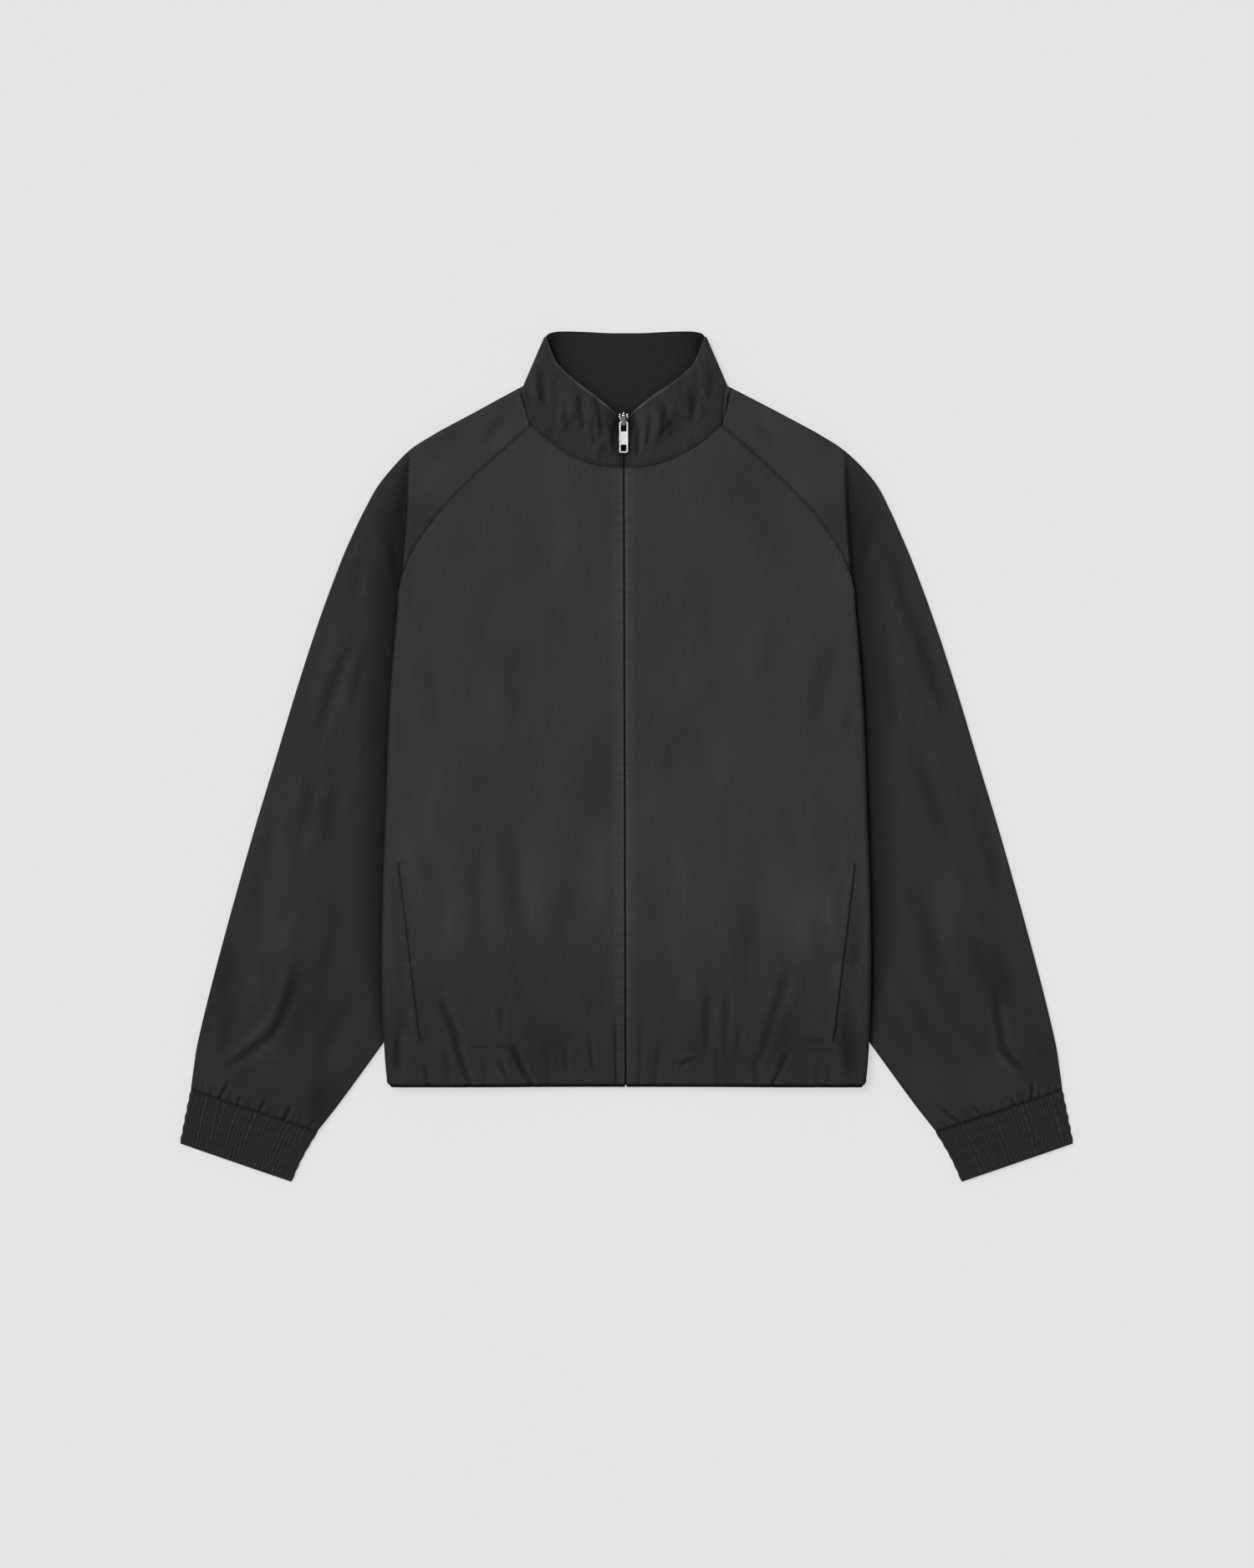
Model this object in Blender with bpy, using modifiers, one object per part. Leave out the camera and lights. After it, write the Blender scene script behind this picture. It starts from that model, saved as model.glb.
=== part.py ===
"""A track jacket laid flat on its back, sleeves pulled down beside the body.

All sizes are in millimetres; MM turns them into Blender's metres when a mesh is made.
X runs across the jacket (the wearer's left is +X), Y from hem to collar, Z up from the floor.
Every piece of cloth is an open sheet of points at the middle of the cloth, which Solidify
turns into a wall. The sheets lie on each other in layers, one wall and one air gap apart.
"""
import math

import bmesh
import bpy
import numpy as np

MM = 0.001

# ---------------------------------------------------------------- driving dimensions
WALL = 1.5             # body and sleeve cloth
COLLAR_WALL = 2.0      # doubled collar cloth
AIR = 0.4              # air between layers that lie on each other
SEAM_GAP = 0.4         # gap between two pieces at a seam
FOLD_GAP = 0.35        # more of it on each side where a seam turns round a fold
HEM_Y = -307.3
NECK_FRONT_Y = 270.0   # neck seam at the zip
NECK_RISE = 40.0       # from there up to where the raglan seam starts
NECK_POINT_X = 88.0
NECK_BOW = 2.3         # power of the neck curve
BACK_NECK_Y = 337.0
BACK_NECK_RISE = 9.0
SHOULDER_NECK = (94.6, 345.8)   # where the shoulder fold meets the collar
NECK_LEAN = -1.1       # the collar lies this far off the middle
NECK_LEAN_Y = (318.0, 346.0)    # where that starts and where it is whole
SHOULDER_LEAN = 1.1    # and the shoulders lie this far the other way,
SHOULDER_LEAN_Y = (262.0, 42.0)  # most at this height, over this spread
SHOULDER_LEAN_X = (195.0, 225.0)
LOFT = 5.2             # front cloth above the back cloth
SIDE_RISE = 5.7        # how much the sleeves under the body lift it
SIDE_RISE_FROM = 40.0  # |x| where the lift starts and where it is whole
SIDE_RISE_TO = 158.0
SIDE_RISE_Y = (218.0, 60.0)     # heights on the body where the lift ends and where it is whole
BACK_RISE_Y = (96.0, 64.0)      # where the back starts to rise over the sleeves, and is whole
BACK_RUN = (14.0, 100.0)        # how far across that rise takes, near the armpit and lower down
BACK_RUN_Y = (62.0, 12.0)
BACK_RISE_INSET = 5.0  # it is whole this far inside the underarm
SLEEVE_EDGE_HIGH = 3.9  # upper wall at the sleeve's outer edge
SLEEVE_SWELL = 2.6
SWELL_POWER = 1.3
VALLEY_Y = (178.0, 270.0)       # the low cloth beside the body ends in the shoulder
EDGE_RISE_Y = (190.0, 290.0)    # the outer edge rises to the front's height
LEVEL_Y = (168.0, 182.0)        # from here up, cloth inside the crease is level with the front,
LEVEL_IN = (5.0, 9.0)           # from this far inside it, over this run
CREASE_STEP = 2.0      # the sleeve is lowest this far outside the crease
RETURN = 20.0          # front cloth turned under the side edge
TAIL = 12.0            # the outermost stretch of a line, where the turn will grow
TURN_GROWS = 32.0      # it is a whole turn this far below the armpit,
UNDER_START = 38.0     # and runs on under the edge from here,
UNDER_GROWS = 40.0     # whole this much lower
TAIL_SPLIT = (12.0, 50.0)       # how far below the armpit the columns start to share out, over what run
UNDER_RETURN_X = 196.0  # the back has risen over that turned cloth by here
ARMPIT_Y = 166.5
WELT_WIDTH = 12.0
WELT_WALL = 1.0
TAPE_HALF = 12.0
TAPE_LOW, TAPE_HIGH = 3.0, 4.0
CHAIN_HALF = 2.2
CHAIN_HIGH = 4.8
ZIP_TOP_Y = 320.0
ZIP_X_HEM, ZIP_X_TOP = -0.7, -2.7     # the zip runs very slightly askew
ZIP_HALF_GAP = 1.0     # front edge to zip centre
CHAIN_UNDER_SLIDER = 0.4
SLIDER_HALF_X, SLIDER_HALF_Y = 3.3, 5.5
SLIDER_LOW, SLIDER_HIGH = 4.3, 7.2
BRIDGE_HALF_X, BRIDGE_HALF_Y, BRIDGE_LEG = 1.8, 5.1, 1.5
BRIDGE_LOW, BRIDGE_HIGH = 9.7, 10.9
PULL_HINGE_Y = 311.7
PULL_HINGE_Z = 8.4
PULL_WIDTH, PULL_THICK = 8.6, 1.4
RIBS = 29
RIB_HIGH = 0.6


def table(columns, *rows):
    """A small table as one array per named column."""
    return dict(zip(columns.split(), np.array(rows, dtype=float).T))


# Right half of the outline; the left half mirrors it. The body's side edge from hem to
# armpit, then the crease that goes on from it up the sleeve to the shoulder.
SIDE_EDGE = table(
    "y x",
    (-307.3, 219.5),
    (-304.5, 222.4),
    (-299.0, 223.3),
    (-285.0, 224.7),
    (-248.0, 226.7),
    (-134.0, 227.0),
    (-48.0, 224.0),
    (55.0, 220.0),
    (112.0, 215.7),
    (166.5, 210.3),
    (200.0, 207.5),
    (237.0, 205.0),
    (278.0, 204.0))
FRONT_SIDE_LINES = (-307.3, -304.5, -299, -285, -264, -238, -208, -175, -140, -105, -70, -35,
                    0, 35, 65, 90, 112, 128, 142, 154)

# Where a line across the front that ends at edge_y starts on the zip, and how strongly it
# bows up towards its outer end.
ZIP_END = table(
    "edge_y zip_y bow",
    (-307.3, -307.3, 1.0),
    (0.0, 0.0, 1.0),
    (112.0, 101.0, 1.1),
    (166.5, 145.0, 1.2),
    (187.6, 161.0, 1.3),
    (206.0, 175.0, 1.4),
    (232.0, 194.0, 1.55),
    (253.0, 210.0, 1.7),
    (283.5, 235.0, 1.95),
    (300.8, 255.0, 2.15),
    (310.0, 270.0, 2.3))

# The sleeve, from the neck to the cuff: the ends of each line across it, on the front
# raglan seam and underarm, on the outer edge, and on the back raglan seam and underarm.
SLEEVE_LINES = table(
    "front_x front_y outer_x outer_y back_x back_y",
    (88.0, 310.0, 94.6, 345.8, 72.0, 342.2),
    (98.5, 300.8, 118.0, 333.5, 84.5, 322.0),
    (118.0, 283.5, 151.8, 315.5, 103.0, 297.0),
    (134.8, 268.6, 166.0, 307.9, 112.2, 283.6),
    (151.0, 253.0, 180.3, 299.9, 121.0, 270.0),
    (171.0, 232.0, 204.5, 283.9, 137.0, 243.0),
    (190.7, 206.0, 230.3, 256.0, 151.0, 213.0),
    (201.6, 187.6, 245.2, 229.5, 159.5, 188.0),
    (210.3, 166.5, 256.8, 204.5, 165.0, 165.0),
    (203.0, 150.0, 264.6, 186.5, 166.0, 147.0),
    (182.0, 121.0, 274.6, 160.5, 164.0, 121.0),
    (166.0, 97.0, 285.0, 132.0, 161.0, 97.0),
    (156.0, 60.0, 297.6, 94.5, 156.0, 60.0),
    (149.0, 20.0, 311.6, 50.0, 149.0, 20.0),
    (146.0, -30.0, 328.5, -6.5, 146.0, -30.0),
    (150.0, -100.0, 347.4, -69.0, 150.0, -100.0),
    (168.0, -170.0, 366.7, -137.0, 168.0, -170.0),
    (196.0, -225.0, 381.6, -192.0, 196.0, -225.0),
    (226.0, -266.0, 391.9, -232.0, 226.0, -266.0),
    (255.5, -306.6, 400.5, -269.0, 255.5, -306.6),
    (289.0, -350.3, 406.6, -311.0, 289.0, -350.3))

RAGLAN_FRONT = 9       # the first lines end on the front raglan seam
RAGLAN_BACK = 12       # and more of them on the back one, which runs on to the underarm

# The back panel's outer edge below the underarm: the side, then over the hidden sleeve.
BACK_SIDE = table(
    "y x",
    (-305.5, 212.0),
    (-285.0, 219.5),
    (-240.0, 221.5),
    (-180.0, 221.5),
    (-110.0, 221.0),
    (-40.0, 218.2),
    (0.0, 216.3),
    (24.0, 212.0),
    (34.0, 198.0),
    (42.0, 180.0),
    (49.0, 163.0),
    (56.0, 153.0),
    (64.0, 151.0),
    (79.0, 154.0))

# The sleeve's hidden inner line, under the body.
UNDERARM = table(
    "y x",
    (-350.3, 289.0),
    (-306.6, 255.5),
    (-266.0, 226.0),
    (-225.0, 196.0),
    (-170.0, 168.0),
    (-100.0, 150.0),
    (-30.0, 146.0),
    (20.0, 149.0),
    (60.0, 156.0),
    (97.0, 166.0))

# The collar's free edge over the front half: part of the way round from zip to neck point.
COLLAR_TOP = table(
    "part x y z",
    (0.00, 8.0, 320.0, 6.1),
    (0.18, 15.5, 327.0, 6.6),
    (0.39, 25.0, 336.0, 7.4),
    (0.74, 42.0, 352.0, 8.6),
    (1.00, 60.0, 369.6, 9.0))
COLLAR_TOP_TIP = (76.4, 389.2)      # free edge at the side fold
COLLAR_TIP_HIGH = 9.0
COLLAR_TIP_OUT = (0.93, 0.37)
COLLAR_BACK_TOP = table(
    "part x y",
    (0.00, 71.5, 394.6),
    (0.06, 68.0, 396.2),
    (0.14, 62.0, 397.0),
    (0.30, 50.0, 396.9),
    (0.50, 36.0, 396.4),
    (0.78, 15.0, 395.4),
    (1.00, 0.0, 395.3))
COLLAR_BACK_PARTS = (0.07, 0.16, 0.28, 0.42, 0.56, 0.70, 0.85, 1.0)
COLLAR_OPENS = table(     # how the collar's ends part round the slider
    "y over wide",
    (294.0, 11.0, 2.9),
    (308.0, 12.0, 3.8))
COLLAR_DRAWN = (1.0, 0.7, 0.35, 0.1)    # how much of that its first columns take

# Soft folds, one row each: from the upper end to the lower, then half width and height.
FOLDS_PLUS_X = table(
    "x0 y0 x1 y1 wide high",
    (66.0, -212.0, 54.6, -300.0, 8.0, 1.2),
    (95.5, -223.0, 90.0, -300.0, 8.0, 0.9),
    (148.6, -206.0, 118.0, -300.0, 9.0, 1.1),
    (178.0, -262.0, 171.0, -303.0, 8.0, 0.8),
    (30.0, -262.0, 27.0, -303.0, 7.0, 0.6))
FOLDS_MINUS_X = table(
    "x0 y0 x1 y1 wide high",
    (176.7, -203.0, 148.0, -303.0, 9.0, 1.3),
    (115.0, -243.0, 88.5, -303.0, 8.0, 1.2),
    (57.6, -262.0, 57.0, -303.0, 7.0, 0.7),
    (33.4, -258.0, 33.4, -300.0, 7.0, 0.6),
    (200.0, -272.0, 196.0, -303.0, 7.0, 0.7))
SLEEVE_FOLDS = table(
    "x0 y0 x1 y1 wide high",
    (315.5, -216.0, 352.0, -292.0, 10.0, 1.2),
    (380.0, -292.0, 377.0, -322.0, 6.0, 0.8),
    (337.0, -302.0, 340.5, -334.0, 6.0, 0.9),
    (312.0, -312.0, 318.6, -342.0, 6.0, 0.8),
    (345.0, 30.0, 262.0, 128.0, 14.0, 0.9),
    (240.0, 60.0, 300.0, -60.0, 16.0, 0.8))

POCKET_TOP = (213.3, -98.0)
POCKET_LOW = (193.0, -265.6)

CUFF_SEAM = ((289.0, -350.3), (406.6, -311.0))
CUFF_END = ((313.4, -396.9), (416.8, -361.4))
CUFF_BOW = (-1.2, 0.4)   # how far its inner and outer sides bow outwards
CUFF_HIGH = 3.5          # middle of the upper wall at the cuff's edges
CUFF_SWELL = 0.8

CLOTH = (0.036, 0.036, 0.036)
RIB_KNIT = (0.024, 0.024, 0.024)
TAPE = (0.012, 0.012, 0.012)
SILVER = (0.55, 0.55, 0.54)


# ---------------------------------------------------------------- small geometry helpers
def layer(number):
    """Middle height of a layer in the pile; 0 lies on the floor."""
    return WALL / 2 + number * (WALL + AIR)


def ease(t):
    """Smooth step from 0 to 1."""
    t = np.clip(t, 0.0, 1.0)
    return t * t * (3.0 - 2.0 * t)


def through(xs, ys, at):
    """Smooth curve through a table's rows: cubic Hermite with averaged slopes."""
    slopes = np.gradient(ys, xs)
    at = np.clip(np.asarray(at, dtype=float), xs[0], xs[-1])
    i = np.clip(np.searchsorted(xs, at) - 1, 0, len(xs) - 2)
    h = xs[i + 1] - xs[i]
    t = (at - xs[i]) / h
    rise = ys[i] + (ys[i + 1] - ys[i]) * t * t * (3 - 2 * t)
    return rise + h * (slopes[i] * t * (1 - t) ** 2 - slopes[i + 1] * t * t * (1 - t))


def along(x, y):
    """Length run so far at each point of an open line."""
    return np.concatenate(([0.0], np.cumsum(np.hypot(np.diff(x), np.diff(y)))))


def blend(a, b, t):
    return a + (b - a) * t


def lean(points):
    """The small lean of the collar and the shoulders, added to X."""
    x, y = points[..., 0], points[..., 1]
    neck = ease((y - NECK_LEAN_Y[0]) / (NECK_LEAN_Y[1] - NECK_LEAN_Y[0]))
    out = ease((np.abs(x) - SHOULDER_LEAN_X[0]) / (SHOULDER_LEAN_X[1] - SHOULDER_LEAN_X[0]))
    shoulder = np.exp(-((y - SHOULDER_LEAN_Y[0]) / SHOULDER_LEAN_Y[1]) ** 2)
    leaned = points.copy()
    leaned[..., 0] += NECK_LEAN * neck + SHOULDER_LEAN * out * shoulder
    return leaned


def zip_x(y):
    """The zip's centre line."""
    part = (np.asarray(y, dtype=float) - HEM_Y) / (ZIP_TOP_Y - HEM_Y)
    return blend(ZIP_X_HEM, ZIP_X_TOP, part)


def fold_over(tip, outward, high, low, steps):
    """Half a turn of cloth round its edge, from its upper layer to its lower one.

    tip is the outermost point in plan, outward the unit direction that points out of the
    edge, and the points run round a half circle that stands on that direction.
    """
    radius = (high - low) / 2
    turn = np.linspace(math.pi / 2, -math.pi / 2, steps + 1)
    reach = radius * (np.cos(turn) - 1)
    return np.stack([tip[0] + outward[0] * reach,
                     tip[1] + outward[1] * reach,
                     low + radius + radius * np.sin(turn)], axis=1)


def unit(x, y):
    length = math.hypot(x, y)
    return (x / length, y / length)


def folds(rows, x, y):
    """Height that the soft folds add at a place: ridges that fade at both ends."""
    total = np.zeros(np.broadcast(x, y).shape)
    for x0, y0, x1, y1, wide, high in zip(*(rows[k] for k in "x0 y0 x1 y1 wide high".split())):
        run_x, run_y = x1 - x0, y1 - y0
        length = math.hypot(run_x, run_y)
        part = ((x - x0) * run_x + (y - y0) * run_y) / length ** 2
        across = ((x - x0) * run_y - (y - y0) * run_x) / length
        fade = ease((part + 0.15) / 0.5) * ease((1.35 - part) / 0.35)
        total = total + high * fade * np.exp(-(across / wide) ** 2)
    return total


# ---------------------------------------------------------------- heights of the pile
def front_height(x, y):
    """Middle of the front cloth: it lies on the back and rises over the tucked sleeves."""
    over_sleeves = ease((SIDE_RISE_Y[0] - y) / (SIDE_RISE_Y[0] - SIDE_RISE_Y[1]))
    side = ease((np.abs(x) - SIDE_RISE_FROM) / (SIDE_RISE_TO - SIDE_RISE_FROM))
    return layer(0) + LOFT + SIDE_RISE * over_sleeves * side


def back_height(x, y):
    """Middle of the back cloth: on the floor, and up over the sleeves below the underarm."""
    edge = np.minimum(through(UNDERARM["y"], UNDERARM["x"], y), UNDER_RETURN_X)
    run = blend(*BACK_RUN, ease((BACK_RUN_Y[0] - y) / (BACK_RUN_Y[0] - BACK_RUN_Y[1])))
    across = ease((np.abs(x) - (edge - BACK_RISE_INSET - run)) / run)
    down = ease((BACK_RISE_Y[0] - y) / (BACK_RISE_Y[0] - BACK_RISE_Y[1]))
    return layer(0) + (layer(3) - layer(0)) * across * down


def sleeve_height(x, y, across):
    """Middle of the sleeve's front wall.

    Beside the body it lies low under the body's edge; above the armpit it comes up to the
    front panel's height at the raglan seam, with a step down along the crease that goes on
    from the body's edge and dies away at the shoulder.
    """
    crease_x = np.maximum(through(SIDE_EDGE["y"], SIDE_EDGE["x"], y),
                          through(UNDERARM["y"], UNDERARM["x"], y))
    valley_depth = 1.0 - ease((y - VALLEY_Y[0]) / (VALLEY_Y[1] - VALLEY_Y[0]))
    top = layer(0) + LOFT
    valley = blend(top, layer(1), valley_depth)
    outer = blend(SLEEVE_EDGE_HIGH, top, ease((y - EDGE_RISE_Y[0]) / (EDGE_RISE_Y[1] - EDGE_RISE_Y[0])))
    lowest_x = crease_x + CREASE_STEP
    past = np.clip((x - lowest_x) / np.maximum(across - lowest_x, 1.0), 0.0, 1.0)
    swell = SLEEVE_SWELL * valley_depth * np.sin(math.pi * past) ** SWELL_POWER
    low = blend(valley, outer, ease(past)) + swell
    inside = ((1.0 - ease((x - crease_x + LEVEL_IN[0]) / LEVEL_IN[1]))
              * ease((y - LEVEL_Y[0]) / (LEVEL_Y[1] - LEVEL_Y[0])))
    return blend(low, top, inside)


# ---------------------------------------------------------------- meshes
def sheet(points):
    """An open mesh over a grid of points, rows by columns."""
    rows, columns = points.shape[:2]
    number = np.arange(rows * columns).reshape(rows, columns)
    corners = (number[:-1, :-1], number[:-1, 1:], number[1:, 1:], number[1:, :-1])
    faces = np.stack([c.ravel() for c in corners], axis=1)
    mesh = bpy.data.meshes.new("sheet")
    mesh.from_pydata((points.reshape(-1, 3) * MM).tolist(), [], faces.tolist())
    mesh.update()
    return mesh


def draw_in(points, gap=SEAM_GAP / 2, first=True, last=True):
    """Pull the first and last rows of a grid in by half the seam gap."""
    points = points.copy()
    for end, neighbour, wanted in ((0, 1, first), (-1, -2, last)):
        if wanted:
            step = points[neighbour] - points[end]
            step /= np.linalg.norm(step, axis=1, keepdims=True)
            points[end] += step * np.reshape(gap, (-1, 1))
    return points


def material(name, colour, roughness, metallic=0.0):
    made = bpy.data.materials.new(name)
    made.use_nodes = True
    shader = made.node_tree.nodes["Principled BSDF"]
    shader.inputs["Base Color"].default_value = (*colour, 1.0)
    shader.inputs["Roughness"].default_value = roughness
    shader.inputs["Metallic"].default_value = metallic
    return made


def add(name, mesh, made, collection):
    """Put a mesh in the jacket's collection as one sub-part."""
    mesh.name = name
    mesh.shade_smooth()
    mesh.set_sharp_from_angle(angle=math.radians(40))
    mesh.materials.append(made)
    piece = bpy.data.objects.new(name, mesh)
    collection.objects.link(piece)
    return piece


def cloth(name, points, made, collection, wall=WALL):
    """A sub-part of cloth: the sheet through the points, given its thickness."""
    piece = add(name, sheet(lean(points)), made, collection)
    solid = piece.modifiers.new("Wall", "SOLIDIFY")
    solid.thickness = wall * MM
    solid.offset = 0.0
    return piece


def mirror_x(points):
    return points * np.array([-1.0, 1.0, 1.0])


# ---------------------------------------------------------------- sub-parts of cloth
def sleeve_lines():
    """Both ends and the outer edge of each line across the sleeve, neck to cuff."""
    run = along(SLEEVE_LINES["outer_x"], SLEEVE_LINES["outer_y"])
    steps = np.concatenate((run[:RAGLAN_BACK], np.linspace(run[RAGLAN_BACK - 1], run[-1], 14)[1:]))
    keys = "front_x front_y outer_x outer_y back_x back_y".split()
    return np.stack([through(run, SLEEVE_LINES[k], steps) for k in keys], axis=1)


def front_points(side):
    """Front panel: lines from the zip edge out to the side edge or raglan seam.

    Below the armpit each line runs on round the side edge and a little way back under it:
    the turn grows first, then the stretch under it.
    """
    seam = sleeve_lines()[RAGLAN_FRONT - 1::-1, :2]
    side_y = np.array(FRONT_SIDE_LINES, dtype=float)
    edge_x = np.concatenate((through(SIDE_EDGE["y"], SIDE_EDGE["x"], side_y), seam[:, 0]))
    edge_y = np.concatenate((side_y, seam[:, 1]))
    zip_y = through(ZIP_END["edge_y"], ZIP_END["zip_y"], edge_y)
    bow = through(ZIP_END["edge_y"], ZIP_END["bow"], edge_y)
    flat_columns, turn_columns, under_columns = 15, 4, 2
    tail_columns = turn_columns + under_columns
    rows = []
    for y0, x1, y1, power in zip(zip_y, edge_x, edge_y, bow):
        x0 = side * float(zip_x(y0)) + ZIP_HALF_GAP
        high = float(front_height(x1, y1))
        radius = (high - layer(2)) / 2
        turned = float(ease((ARMPIT_Y - y1) / TURN_GROWS))
        flat = x1 - radius * turned - x0
        turn = math.pi * radius * turned
        under_run = RETURN * float(ease((ARMPIT_Y - UNDER_START - y1) / UNDER_GROWS))
        end = flat + turn + under_run
        tail = max(TAIL, turn + under_run)
        tail_even = end - tail * (1.0 - np.arange(tail_columns + 1) / tail_columns)
        tail_split = np.concatenate((
            flat + turn * np.arange(turn_columns + 1) / turn_columns,
            flat + turn + under_run * np.arange(1, under_columns + 1) / under_columns))
        share = float(ease((ARMPIT_Y - TAIL_SPLIT[0] - y1) / TAIL_SPLIT[1]))
        tail_place = blend(tail_even, tail_split, share)
        place = np.concatenate((np.linspace(0.0, tail_place[0], flat_columns + 1), tail_place[1:]))
        part = np.clip(place / flat, 0.0, 1.0)
        x = x0 + part * flat
        y = y0 + (y1 - y0) * part ** power
        angle = np.clip((place - flat) / radius, 0.0, math.pi)
        under = np.maximum(place - flat - math.pi * radius, 0.0)
        height = front_height(x, y) + folds(FOLDS_PLUS_X if side > 0 else FOLDS_MINUS_X, x, y)
        round_edge = place > flat
        z = np.where(round_edge, high - radius * (1 - np.cos(angle)), height)
        x = np.where(round_edge, x + radius * np.sin(angle) - under, x)
        rows.append(np.stack([x, y, z], axis=1))
    return np.array(rows)


def draw_in_sides(points, rows, first=True):
    """Pull in the ends of some of a grid's rows by half the seam gap."""
    points = points.copy()
    points[rows] = draw_in(points[rows].transpose(1, 0, 2), first=first).transpose(1, 0, 2)
    return points


def front(side, name, made, collection):
    points = draw_in(front_points(side), first=False)
    points = draw_in_sides(points, slice(-RAGLAN_FRONT, None), first=False)
    return cloth(name, points if side > 0 else mirror_x(points), made, collection)


def back(made, collection):
    """Back panel: lines straight across, from one outer edge to the other."""
    seam = sleeve_lines()[RAGLAN_BACK - 1::-1, 4:]
    x = np.concatenate((BACK_SIDE["x"], seam[:, 0]))
    y = np.concatenate((BACK_SIDE["y"], seam[:, 1]))
    grid_x = x[:, None] * np.linspace(-1.0, 1.0, 15)
    neck = BACK_NECK_RISE * (grid_x ** 2 - x[:, None] ** 2) / SHOULDER_NECK[0] ** 2
    grid_y = y[:, None] + neck * ease((y - 240.0) / (y[-1] - 240.0))[:, None]
    grid = np.stack([grid_x, grid_y, back_height(grid_x, grid_y)], axis=2)
    grid = draw_in_sides(draw_in(grid, first=False), slice(-RAGLAN_BACK, None))
    return cloth("back", grid, made, collection)


def sleeve_points():
    """Sleeve: front wall from the raglan seam or underarm out to the outer edge, half a
    turn round it, and the back wall on the floor to the back raglan seam or underarm."""
    rows = []
    for fx, fy, ox, oy, bx, by in sleeve_lines():
        toward_front, toward_back = unit(ox - fx, oy - fy), unit(ox - bx, oy - by)
        out = unit(toward_front[0] + toward_back[0], toward_front[1] + toward_back[1])
        high = float(sleeve_height(np.float64(ox), np.float64(oy), np.float64(ox)))
        turn = fold_over((ox, oy), out, high, layer(0), 4)
        part = np.linspace(0.0, 1.0, 10)[:-1]
        x, y = blend(fx, turn[0, 0], part), blend(fy, turn[0, 1], part)
        z = sleeve_height(x, y, ox) + folds(SLEEVE_FOLDS, x, y)
        z = blend(z, high, ease((part - 0.8) / 0.2))
        part = np.linspace(0.0, 1.0, 5)[1:]
        low_x, low_y = blend(turn[-1, 0], bx, part), blend(turn[-1, 1], by, part)
        rows.append(np.concatenate((
            np.stack([x, y, z], axis=1), turn,
            np.stack([low_x, low_y, np.full(4, layer(0))], axis=1))))
    return np.array(rows)


def sleeve(side, name, made, collection):
    points = sleeve_points()
    turned = np.zeros(points.shape[1])
    turned[9:14] = FOLD_GAP
    points = draw_in(points, SEAM_GAP / 2 + turned, last=False)
    points = draw_in(points, first=False)
    points = draw_in_sides(points, slice(None))
    return cloth(name, points if side > 0 else mirror_x(points), made, collection)


def neck_seam(part, side):
    """The front neck seam in plan, from the zip (0) to the raglan seam (1)."""
    y = NECK_FRONT_Y + NECK_RISE * part ** NECK_BOW
    x0 = side * zip_x(y) + ZIP_HALF_GAP
    return x0 + (NECK_POINT_X - x0) * part, y


def collar_half(side):
    """Seam edge and free edge of half the collar, from the zip round to the centre back."""
    part = np.linspace(0.0, 1.0, 9)
    seam_x, seam_y = neck_seam(part, side)
    high = layer(0) + LOFT
    low = COLLAR_WALL / 2
    seam = np.stack([seam_x, seam_y, np.full(9, high)], axis=1)
    free = np.stack([through(COLLAR_TOP["part"], COLLAR_TOP[k], part) for k in "xyz"], axis=1)
    free[:, 0] += (1 - part) * side * zip_x(free[:, 1])

    toward_front = unit(SHOULDER_NECK[0] - NECK_POINT_X, SHOULDER_NECK[1] - NECK_FRONT_Y - NECK_RISE)
    toward_back = unit(SHOULDER_NECK[0] - SLEEVE_LINES["back_x"][0],
                       SHOULDER_NECK[1] - SLEEVE_LINES["back_y"][0])
    out = unit(toward_front[0] + toward_back[0], toward_front[1] + toward_back[1])
    seam_turn = fold_over(SHOULDER_NECK, out, high, low, 4)
    free_turn = fold_over(COLLAR_TOP_TIP, unit(*COLLAR_TIP_OUT), COLLAR_TIP_HIGH, low, 4)
    third = np.linspace(0.0, 1.0, 4)[1:-1, None]
    seam_side = blend(seam[-1], seam_turn[0], third)
    free_side = blend(free[-1], free_turn[0], third)

    part = np.linspace(0.0, 1.0, 9)[1:]
    back_x = blend(seam_turn[-1, 0], 0.0, part)
    first_y = BACK_NECK_Y + BACK_NECK_RISE * (back_x / SHOULDER_NECK[0]) ** 2
    seam_back = np.stack([back_x, first_y, np.full(8, low)], axis=1)
    free_back = np.stack([through(COLLAR_BACK_TOP["part"], COLLAR_BACK_TOP[k], COLLAR_BACK_PARTS)
                          for k in "xy"] + [np.full(8, low)], axis=1)
    return (np.concatenate((seam, seam_side, seam_turn, seam_back)),
            np.concatenate((free, free_side, free_turn, free_back)))


def collar_points():
    """The whole collar strip: lines from the neck seam up to the free edge."""
    halves = []
    for side in (-1, 1):
        seam, free = collar_half(side)
        rise = np.linspace(0.0, 1.0, 4)[:, None, None]
        grid = blend(seam[None], free[None], rise)
        edge_y = grid[:, 0, 1]
        open_gap = ZIP_HALF_GAP + sum(wide * ease((edge_y - y) / over)
                                      for y, over, wide in zip(*COLLAR_OPENS.values()))
        shift = side * zip_x(edge_y) + open_gap - grid[:, 0, 0]
        grid[:, :len(COLLAR_DRAWN), 0] += shift[:, None] * np.array(COLLAR_DRAWN)
        grid[..., 0] *= side
        halves.append(grid)
    left, right = halves
    return np.concatenate((left, right[:, -2::-1]), axis=1)


def collar(made, collection):
    points = collar_points()
    turned = np.zeros(points.shape[1])
    turned[11:16] = turned[-16:-11] = FOLD_GAP
    points = draw_in(points, SEAM_GAP / 2 + turned, last=False)
    return cloth("collar", points, made, collection, COLLAR_WALL)


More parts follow.
